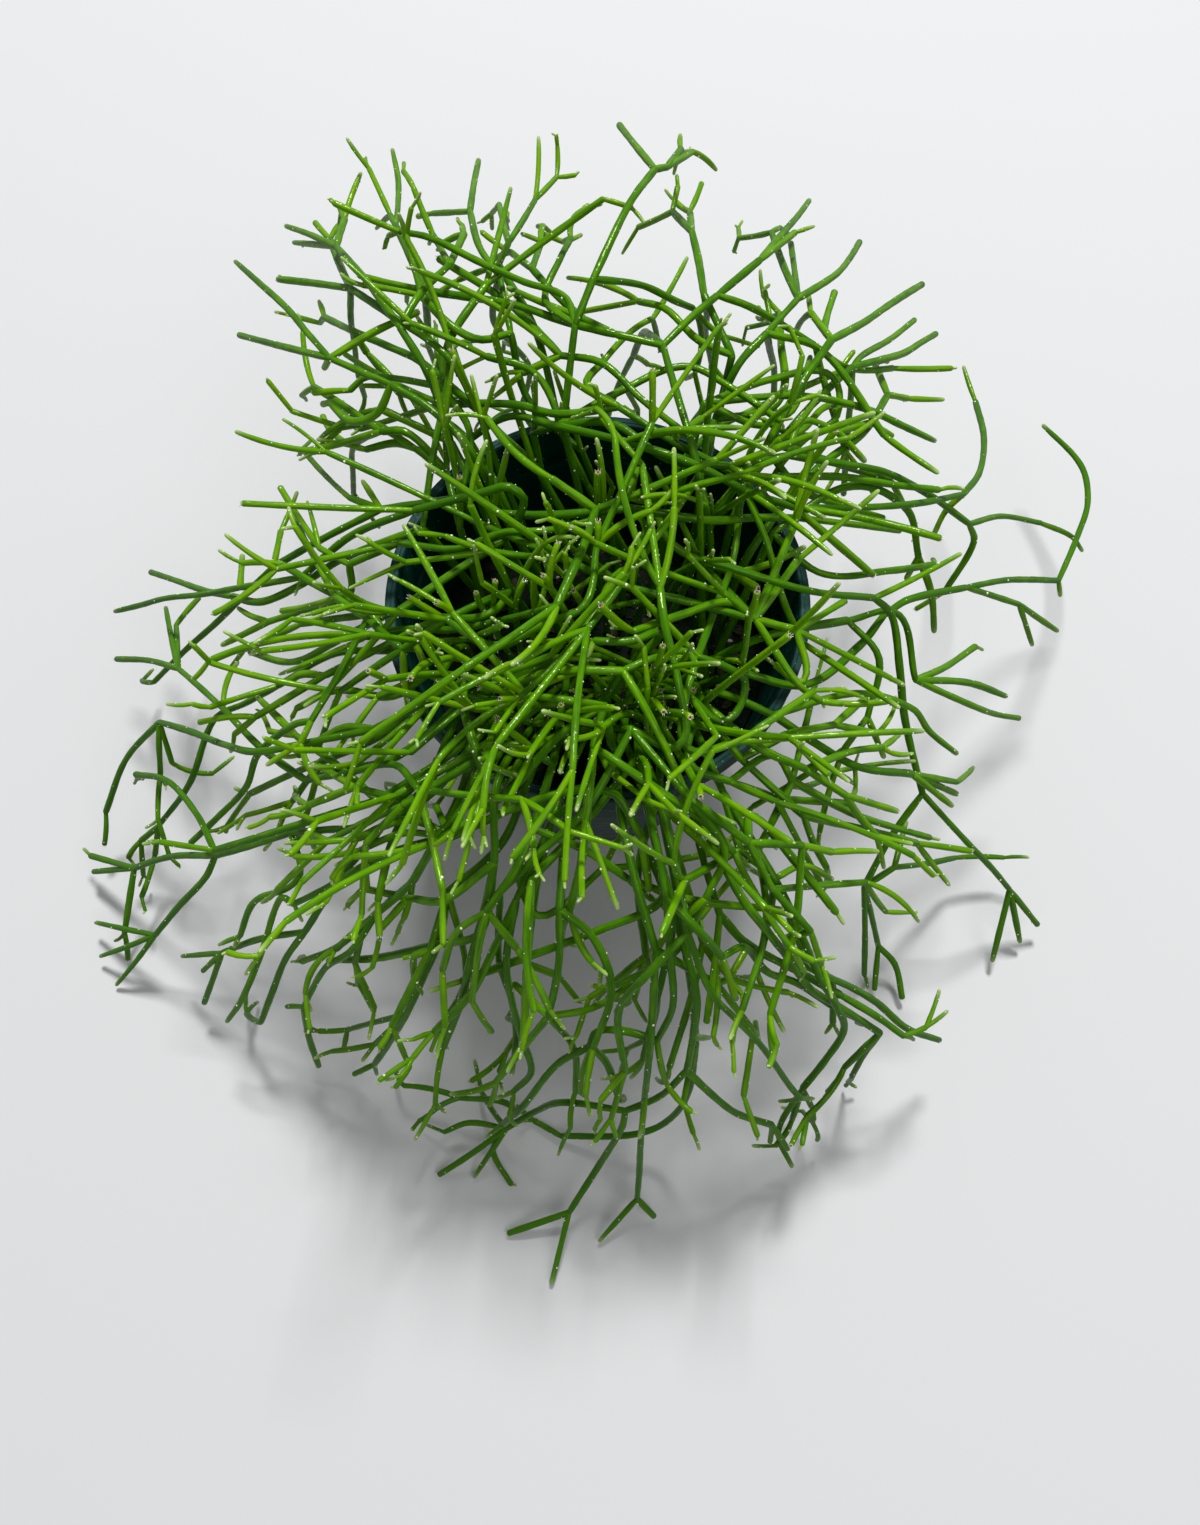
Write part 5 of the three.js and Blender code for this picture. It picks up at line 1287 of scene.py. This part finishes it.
# A dome is given as (share of its length, share of the joint's thickness), from the pole.
DOME = ((0.0, 0.004), (0.12, 0.48), (0.45, 0.84), (1.0, 1.0))
NODE_OVERLAP = 0.62
WAIST, WAIST_LENGTH = 0.13, 2.4
BELLY, BELLY_TURNS = 0.05, (1.5, 3.0)
RIPPLE, RIPPLE_LENGTH = 0.03, 9
START_ANGLE = (0, 6)
TIP_TAPER_LENGTH, PALE_LENGTH = 6.0, 2.2
YOUNG_TAPER, GROWN_TAPER, BLUNT_TAPER = 0.36, 0.26, 0.04
BLUNT_SHARE, BLUNT_TWIG_SHARE, THICK_TWIG = 0.5, 0.3, 0.88
FLAT_END = 0.4


def taper_of(joint):
    """How much thinner a joint gets towards its end."""
    if joint["blunt"] or not joint["last"]:
        return BLUNT_TAPER
    return YOUNG_TAPER if joint["twig"] else GROWN_TAPER


def joint_stations(joint, chance):
    """The distance along a joint and the thickness at each of its stations.

    Whether its end is blunt, and how close each station is to a growing tip, are noted in the joint.
    """
    thick, length = joint["radius"], joint["length"]
    low, high = -NODE_OVERLAP * thick, length + (0 if joint["last"] else NODE_OVERLAP * thick)
    bare = BLUNT_SHARE if not joint["twig"] else BLUNT_TWIG_SHARE if thick > THICK_TWIG else 0
    joint["blunt"] = joint["old"] or bool(joint["last"]) and chance.random() < bare
    dome = thick if high - low > 3 * thick else (high - low) / 3
    first = [low + share * dome for share, _ in DOME]
    final = [high - share * dome * (FLAT_END if joint["blunt"] else 1) for share, _ in reversed(DOME)]
    count = max(1, round((final[0] - first[-1]) / STATION_STEP))
    body = np.linspace(first[-1], final[0], count + 1)[1:-1]
    along_joint = np.concatenate([first, body, final])
    rounding = np.concatenate([
        [share for _, share in DOME], np.ones(len(body)), [share for _, share in reversed(DOME)],
    ])
    share = np.clip(along_joint / length, 0, 1)
    waves = BELLY * np.sin(share * math.pi * chance.uniform(*BELLY_TURNS) + chance.uniform(*START_ANGLE))
    ripples = along_joint * 2 * math.pi / RIPPLE_LENGTH + chance.uniform(*START_ANGLE)
    waves = waves + RIPPLE * np.sin(ripples)
    waist = WAIST * np.exp(-((along_joint / WAIST_LENGTH) ** 2))
    to_tip = np.maximum(length - along_joint, 0)
    taper = np.exp(-to_tip / TIP_TAPER_LENGTH) * taper_of(joint)
    young = joint["last"] and not joint["blunt"]
    joint["tip_closeness"] = np.exp(-to_tip / PALE_LENGTH) * young
    return along_joint, thick * rounding * (1 + waves - waist - taper)


def places_at(joint, distances):
    """The places at some distances along a joint. Distances beyond an end run straight on."""
    points = joint["points"]
    steps = np.concatenate([[0], np.cumsum(np.linalg.norm(np.diff(points, axis=0), axis=1))])
    found = np.stack([np.interp(distances, steps, points[:, axis]) for axis in range(3)], 1)
    found = found + unit(points[1] - points[0]) * np.minimum(distances, 0)[:, None]
    return found + unit(points[-1] - points[-2]) * np.maximum(distances - steps[-1], 0)[:, None]


# %% [markdown]
# A tube's own coordinates are kept on its vertices, for the material: round the stem and along it
# in millimetres, so that streaks run lengthwise without a seam. So are the joint's age, which is
# how much growth lies beyond it, and how close each vertex is to a growing tip.

# %% Skin: one mesh for each rooted stem
RING_SIDES = 10
POLE_RADIUS = 0.01
AGE_LENGTH, AGE_SPREAD = 70, 0.12
TWIG_YOUTH = 0.35
# Each joint starts somewhere else in the pattern, up to this far along in mm, so no two look alike.
PATTERN_SHIFT = 900


def stem_skin(name, members, chance):
    """A closed mesh of all the joints of one stem, with its material's attributes."""
    curve = bpy.data.curves.new(name, "CURVE")
    curve.dimensions = "3D"
    curve.bevel_depth = 1
    curve.bevel_resolution = RING_SIDES // 2 - 2
    curve.use_fill_caps = False
    turns = np.arange(RING_SIDES) * 2 * math.pi / RING_SIDES
    around, ages, tips = [], [], []
    for joint in members:
        distances, thickness = joint_stations(joint, chance)
        joint["thickness"] = float(thickness[len(thickness) // 2])
        spots = places_at(joint, distances) * MM
        spline = curve.splines.new("POLY")
        spline.points.add(len(spots) - 1)
        spline.points.foreach_set("co", np.column_stack([spots, np.ones(len(spots))]).ravel())
        spline.points.foreach_set("radius", thickness * MM)
        shift = chance.uniform(0, PATTERN_SHIFT)
        rings = np.stack([
            np.outer(thickness, np.cos(turns)), np.outer(thickness, np.sin(turns)),
            np.repeat(distances + shift, RING_SIDES).reshape(-1, RING_SIDES),
        ], 2)
        around.append(rings.reshape(-1, 3))
        youth = joint["length"] * (TWIG_YOUTH if joint["twig"] else 0)
        age = 1 - math.exp(-(joint["beyond"] - youth) / AGE_LENGTH)
        age = min(1, max(0, age + chance.uniform(-AGE_SPREAD, AGE_SPREAD)))
        ages.append(np.full(len(spots) * RING_SIDES, age))
        tips.append(np.repeat(joint["tip_closeness"], RING_SIDES))
    carrier = bpy.data.objects.new(name, curve)
    scene.collection.objects.link(carrier)
    tube = bpy.data.meshes.new_from_object(carrier.evaluated_get(bpy.context.evaluated_depsgraph_get()))
    bpy.data.objects.remove(carrier)
    bpy.data.curves.remove(curve)
    around = np.concatenate(around).ravel()
    tube.attributes.new("skin", "FLOAT_VECTOR", "POINT").data.foreach_set("vector", around)
    for label, values in (("age", ages), ("tip", tips)):
        tube.attributes.new(label, "FLOAT", "POINT").data.foreach_set("value", np.concatenate(values))
    shape = bmesh.new()
    shape.from_mesh(tube)
    bpy.data.meshes.remove(tube)
    skin_layer = shape.verts.layers.float_vector["skin"]
    poles = [vertex for vertex in shape.verts if vertex[skin_layer].xy.length < POLE_RADIUS]
    bmesh.ops.remove_doubles(shape, verts=poles, dist=2 * POLE_RADIUS * MM)
    return finish_mesh(shape, name + "_skin", smooth_angle=180)


# %% [markdown]
# The skin is a living, waxy one, like that of a jade plant. New growth is bright yellowish green
# and dulls to a deeper green with age. Wax gives narrow highlights that break up over fine
# lengthwise wrinkles and shallow lumps. Growing tips are pale. Low growth gets painted shade: its
# colour darkens towards a deep green near the table. A plant's wax is a weak mirror, and its
# reflections are a little green, so the shader's specular level is set below that of a plain
# plastic, and its specular tint to a pale green.

# %% Skin: waxy green epidermis
skin, shader = new_material("waxy green epidermis", {
    "IOR": 1.4, "Specular IOR Level": 0.4, "Specular Tint": linear("#e0f0b0"),
})
around = add(skin, "ShaderNodeAttribute", {}, "Vector", attribute_name="skin")
age = add(skin, "ShaderNodeAttribute", {}, "Fac", attribute_name="age")
tip = add(skin, "ShaderNodeAttribute", {}, "Fac", attribute_name="tip")
height = add(skin, "ShaderNodeSeparateXYZ", {0: add(skin, "ShaderNodeTexCoord", {}, "Object")}, "Z")

# %% Skin: streaks, mottling, wrinkles and lumps
# How far one mark reaches across the stem and along it, in mm.
SKIN_MARKS = {
    "streaks": {"across": 0.9, "along": 14, "detail": 3.0},
    "mottle": {"across": 5, "along": 5, "detail": 2.0},
    "wrinkles": {"across": 0.28, "along": 3.5, "detail": 2.0},
    "lumps": {"across": 1.6, "along": 1.6, "detail": 1.0},
}
marks = {}
for mark, facts in SKIN_MARKS.items():
    scale = (1 / facts["across"], 1 / facts["across"], 1 / facts["along"])
    stretched = add(skin, "ShaderNodeMapping", {"Vector": around, "Scale": scale})
    marks[mark] = add(skin, "ShaderNodeTexNoise", {
        "Vector": stretched, "Scale": 1.0, "Detail": facts["detail"],
    })

# %% Skin: colour by age and tips, and painted shade by height
MOTTLE_SHARE, STREAK_SHARE, MARKS_SHIFT = 0.7, 1.5, -0.98
PAINTED_SHADE_FROM, PAINTED_SHADE_TO, PAINTED_SHADE_SHARE = 105 * MM, 25 * MM, 0.75
PALE_POWER, PALE_SHARE = 1.6, 0.75
GREENS_BY_AGE = {0.1: "#6c9d04", 0.4: "#5b9104", 0.75: "#4a8004", 1.0: "#396d03"}
mottled = add(skin, "ShaderNodeMath", {
    0: marks["mottle"], 1: MOTTLE_SHARE, 2: MARKS_SHIFT,
}, operation="MULTIPLY_ADD")
varied = add(skin, "ShaderNodeMath", {
    0: marks["streaks"], 1: STREAK_SHARE, 2: mottled,
}, operation="MULTIPLY_ADD")
aged = add(skin, "ShaderNodeMath", {0: age, 1: varied}, operation="ADD")
colour = add(skin, "ShaderNodeValToRGB", {0: aged}, stops=GREENS_BY_AGE)
# Painted shade: below 105 mm above the table the colour is mixed towards a deep green, most at 25 mm,
# standing in for the shade that low stems hang in.
low = add(skin, "ShaderNodeMapRange", {
    "Value": height, "From Min": PAINTED_SHADE_FROM, "From Max": PAINTED_SHADE_TO, "To Min": 0.0, "To Max": PAINTED_SHADE_SHARE,
})
pale = add(skin, "ShaderNodeMath", {0: tip, 1: PALE_POWER}, operation="POWER")
pale = add(skin, "ShaderNodeMath", {0: pale, 1: PALE_SHARE}, operation="MULTIPLY")
# The deep green #30640a is the painted shade; the pale green is the growing tips' own colour.
for share, over in ((low, "#30640a"), (pale, "#c4d690")):
    colour = add(skin, "ShaderNodeMix", {"Factor": share, 6: colour, 7: linear(over)}, 2, data_type="RGBA")

# %% Skin: gloss and relief
WAX_ROUGHNESS = (0.14, 0.28)
LUMP_SHARE, RELIEF_DEPTH = 2.2, 0.08 * MM
rough = add(skin, "ShaderNodeMapRange", {
    "Value": marks["streaks"], "From Min": 0.3, "From Max": 0.7,
    "To Min": WAX_ROUGHNESS[0], "To Max": WAX_ROUGHNESS[1],
})
relief = add(skin, "ShaderNodeMath", {
    0: marks["lumps"], 1: LUMP_SHARE, 2: marks["wrinkles"],
}, operation="MULTIPLY_ADD")
bump = add(skin, "ShaderNodeBump", {"Height": relief, "Strength": 0.8, "Distance": RELIEF_DEPTH})
connect(skin, shader, {"Base Color": colour, "Roughness": rough, "Normal": bump})

# %% Skin: dress every stem
chance = random.Random(3)
faces = 0
for stem, name in enumerate(STEMS):
    piece = stem_skin(name, [joint for joint in joints if joint["stem"] == stem], chance)
    piece.data.materials.append(skin)
    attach(piece, "root")
    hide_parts(name)
    faces += len(piece.data.polygons)
print("skin:", len(STEMS), "stems,", faces, "faces")

# %% [markdown]
# Being a cactus, the plant has areoles: tiny cushions of white wool, set in a spiral up every
# joint, where a cactus with spines would carry them. Each is a small icosphere pressed flat against
# the skin. Old bare tips end in a corky scar with a dark core and a star of short white bristles,
# which are thin three-sided cones. There are thousands of dots, so each keeps to 20 faces.

# %% Areoles: wool along the joints
# The first and last areoles keep this far from a joint's ends, in mm.
FIRST_AREOLE, LAST_AREOLE = (1.0, 4.0), 0.4
AREOLE_STEP, TWIG_AREOLE_STEP = (6.0, 9.5), (4.0, 7.0)
# The turn from one areole to the next is the golden angle, as in most plants.
AREOLE_TURN = math.radians(137.5)
AREOLE_SIZE, AREOLE_REACH, AREOLE_FLATNESS = (0.14, 0.26), 0.97, 0.7
TUFT_SHARE, TUFT_SIZE = 0.08, (0.3, 0.5)
SCALY_LENGTH, SCALE_STEP, SCALE_SIZE = 5.5, (0.9, 1.6), (0.16, 0.28)
# No joint points exactly this way, so it gives every joint a side to start from.
ANY_WAY = (0.3, 0.2, 1.0)


def add_ball(wool, tone, lay, value):
    """Adds a ball of 20 faces to a bmesh, squashed and placed by a matrix, in one tone."""
    for vertex in bmesh.ops.create_icosphere(wool, subdivisions=1, radius=1, matrix=lay)["verts"]:
        vertex[tone] = value


def frame_at(points, share):
    """A place and its heading part of the way along a joint."""
    spot = min(len(points) - 2, int(share * (len(points) - 1)))
    return points[spot], unit(points[spot + 1] - points[spot])


def wool_dots(joint, wool, tone, chance):
    """Adds a joint's areoles to a bmesh, in a spiral up the joint."""
    travelled, turn, count = chance.uniform(*FIRST_AREOLE), chance.uniform(0, 2 * math.pi), 0
    while travelled < joint["length"] - LAST_AREOLE:
        spot, heading = frame_at(joint["points"], travelled / joint["length"])
        side = unit(np.cross(heading, ANY_WAY))
        outward = side * math.cos(turn) + np.cross(heading, side) * math.sin(turn)
        scaly = joint["last"] and not joint["blunt"] and joint["length"] - travelled < SCALY_LENGTH
        tuft = chance.random() < TUFT_SHARE
        size = chance.uniform(*(SCALE_SIZE if scaly else TUFT_SIZE if tuft else AREOLE_SIZE))
        lay = (
            Matrix.Translation(Vector(spot + outward * joint["thickness"] * AREOLE_REACH) * MM)
            @ Vector(outward).to_track_quat("Z", "Y").to_matrix().to_4x4()
            @ Matrix.Diagonal((size * MM, size * MM, size * AREOLE_FLATNESS * MM, 1))
        )
        add_ball(wool, tone, lay, 1.0)
        step = SCALE_STEP if scaly else TWIG_AREOLE_STEP if joint["twig"] else AREOLE_STEP
        travelled += chance.uniform(*step)
        turn += AREOLE_TURN
        count += 1
    return count


# %% Areoles: scars and bristles on old tips
SCAR_WIDTH, SCAR_DEPTH, SCAR_SINK, SCAR_TONE = 0.84, 0.4, 0.5, (0.3, 0.55)
CORE_WIDTH, CORE_SINK, CORE_TONE = 0.45, 0.2, 0.05
BRISTLES, BRISTLE_RING = 7, 0.6
BRISTLE_LENGTH, BRISTLE_RADIUS, BRISTLE_TIP = (0.45, 1.0), 0.15, 0.02
BRISTLE_TWIST, BRISTLE_LEAN, BRISTLE_RISE = 0.3, (0.1, 0.7), 0.4


def bristle_star(joint, wool, tone, chance):
    """Adds a corky scar and a star of bristles to a bmesh, at the bare tip of a joint."""
    spot, heading = joint["points"][-1], unit(joint["points"][-1] - joint["points"][-3])
    thick = joint["thickness"]
    facing = Vector(heading).to_track_quat("Z", "Y").to_matrix().to_4x4()
    scar = (SCAR_WIDTH, SCAR_SINK, chance.uniform(*SCAR_TONE))
    for width, sink, cork in (scar, (CORE_WIDTH, CORE_SINK, CORE_TONE)):
        lay = Matrix.Translation(Vector(spot - heading * SCAR_DEPTH * sink) * MM) @ facing
        lay = lay @ Matrix.Diagonal((thick * width * MM, thick * width * MM, SCAR_DEPTH * MM, 1))
        add_ball(wool, tone, lay, cork)
    for bristle in range(BRISTLES):
        twist = chance.uniform(-BRISTLE_TWIST, BRISTLE_TWIST)
        spin = Matrix.Rotation(2 * math.pi * bristle / BRISTLES + twist, 4, "Z")
        lean = Matrix.Rotation(chance.uniform(*BRISTLE_LEAN), 4, "X")
        tall = chance.uniform(*BRISTLE_LENGTH)
        ring = Matrix.Translation((0, -thick * BRISTLE_RING * MM, 0))
        lift = Matrix.Translation((0, 0, tall * BRISTLE_RISE * MM))
        grown = bmesh.ops.create_cone(
            wool, cap_ends=True, segments=3, depth=tall * MM,
            radius1=BRISTLE_RADIUS * MM, radius2=BRISTLE_TIP * MM,
            matrix=Matrix.Translation(Vector(spot) * MM) @ facing @ spin @ ring @ lean @ lift,
        )
        for vertex in grown["verts"]:
            vertex[tone] = 1.0


# %% Areoles: one mesh of them all
# Each stem's wool is made in a mesh of its own and then added, because a bmesh slows as it grows.
chance = random.Random(4)
all_wool = bmesh.new()
dots = stars = 0
for stem in range(len(STEMS)):
    wool = bmesh.new()
    tone = wool.verts.layers.float.new("tone")
    for joint in (joint for joint in joints if joint["stem"] == stem):
        dots += wool_dots(joint, wool, tone, chance)
        if joint["blunt"]:
            bristle_star(joint, wool, tone, chance)
            stars += 1
    part = bpy.data.meshes.new("wool")
    wool.to_mesh(part)
    wool.free()
    all_wool.from_mesh(part)
    bpy.data.meshes.remove(part)
wool_piece = finish_mesh(all_wool, "areoles", smooth_angle=180)
print("areoles:", dots, "dots and", stars, "old tips,", len(wool_piece.data.polygons), "faces")

# %% [markdown]
# The wool is soft, dull and nearly white, and the scars are dry cork, tan with a dark core.

# %% Areoles: wool and cork
# Real fibres are far finer, but would not show.
FIBRE_SIZE, FIBRE_CONTRAST = 0.4 * MM, 0.3
felt, shader = new_material("areole wool and cork", {"Roughness": 0.8, "IOR": 1.4, "Sheen Weight": 0.3})
tone = add(felt, "ShaderNodeAttribute", {}, "Fac", attribute_name="tone")
place = add(felt, "ShaderNodeTexCoord", {}, "Object")
fibre = add(felt, "ShaderNodeTexNoise", {"Vector": place, "Scale": 1 / FIBRE_SIZE, "Detail": 2.0})
varied = add(felt, "ShaderNodeMath", {
    0: fibre, 1: FIBRE_CONTRAST, 2: -FIBRE_CONTRAST / 2,
}, operation="MULTIPLY_ADD")
varied = add(felt, "ShaderNodeMath", {0: varied, 1: tone}, operation="ADD")
colour = add(felt, "ShaderNodeValToRGB", {0: varied}, stops={
    0.0: "#3c2c10", 0.25: "#7a6428", 0.5: "#b5a468", 0.95: "#f3f1e2",
})
connect(felt, shader, {"Base Color": colour})
wool_piece.data.materials.append(felt)
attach(wool_piece, "root")
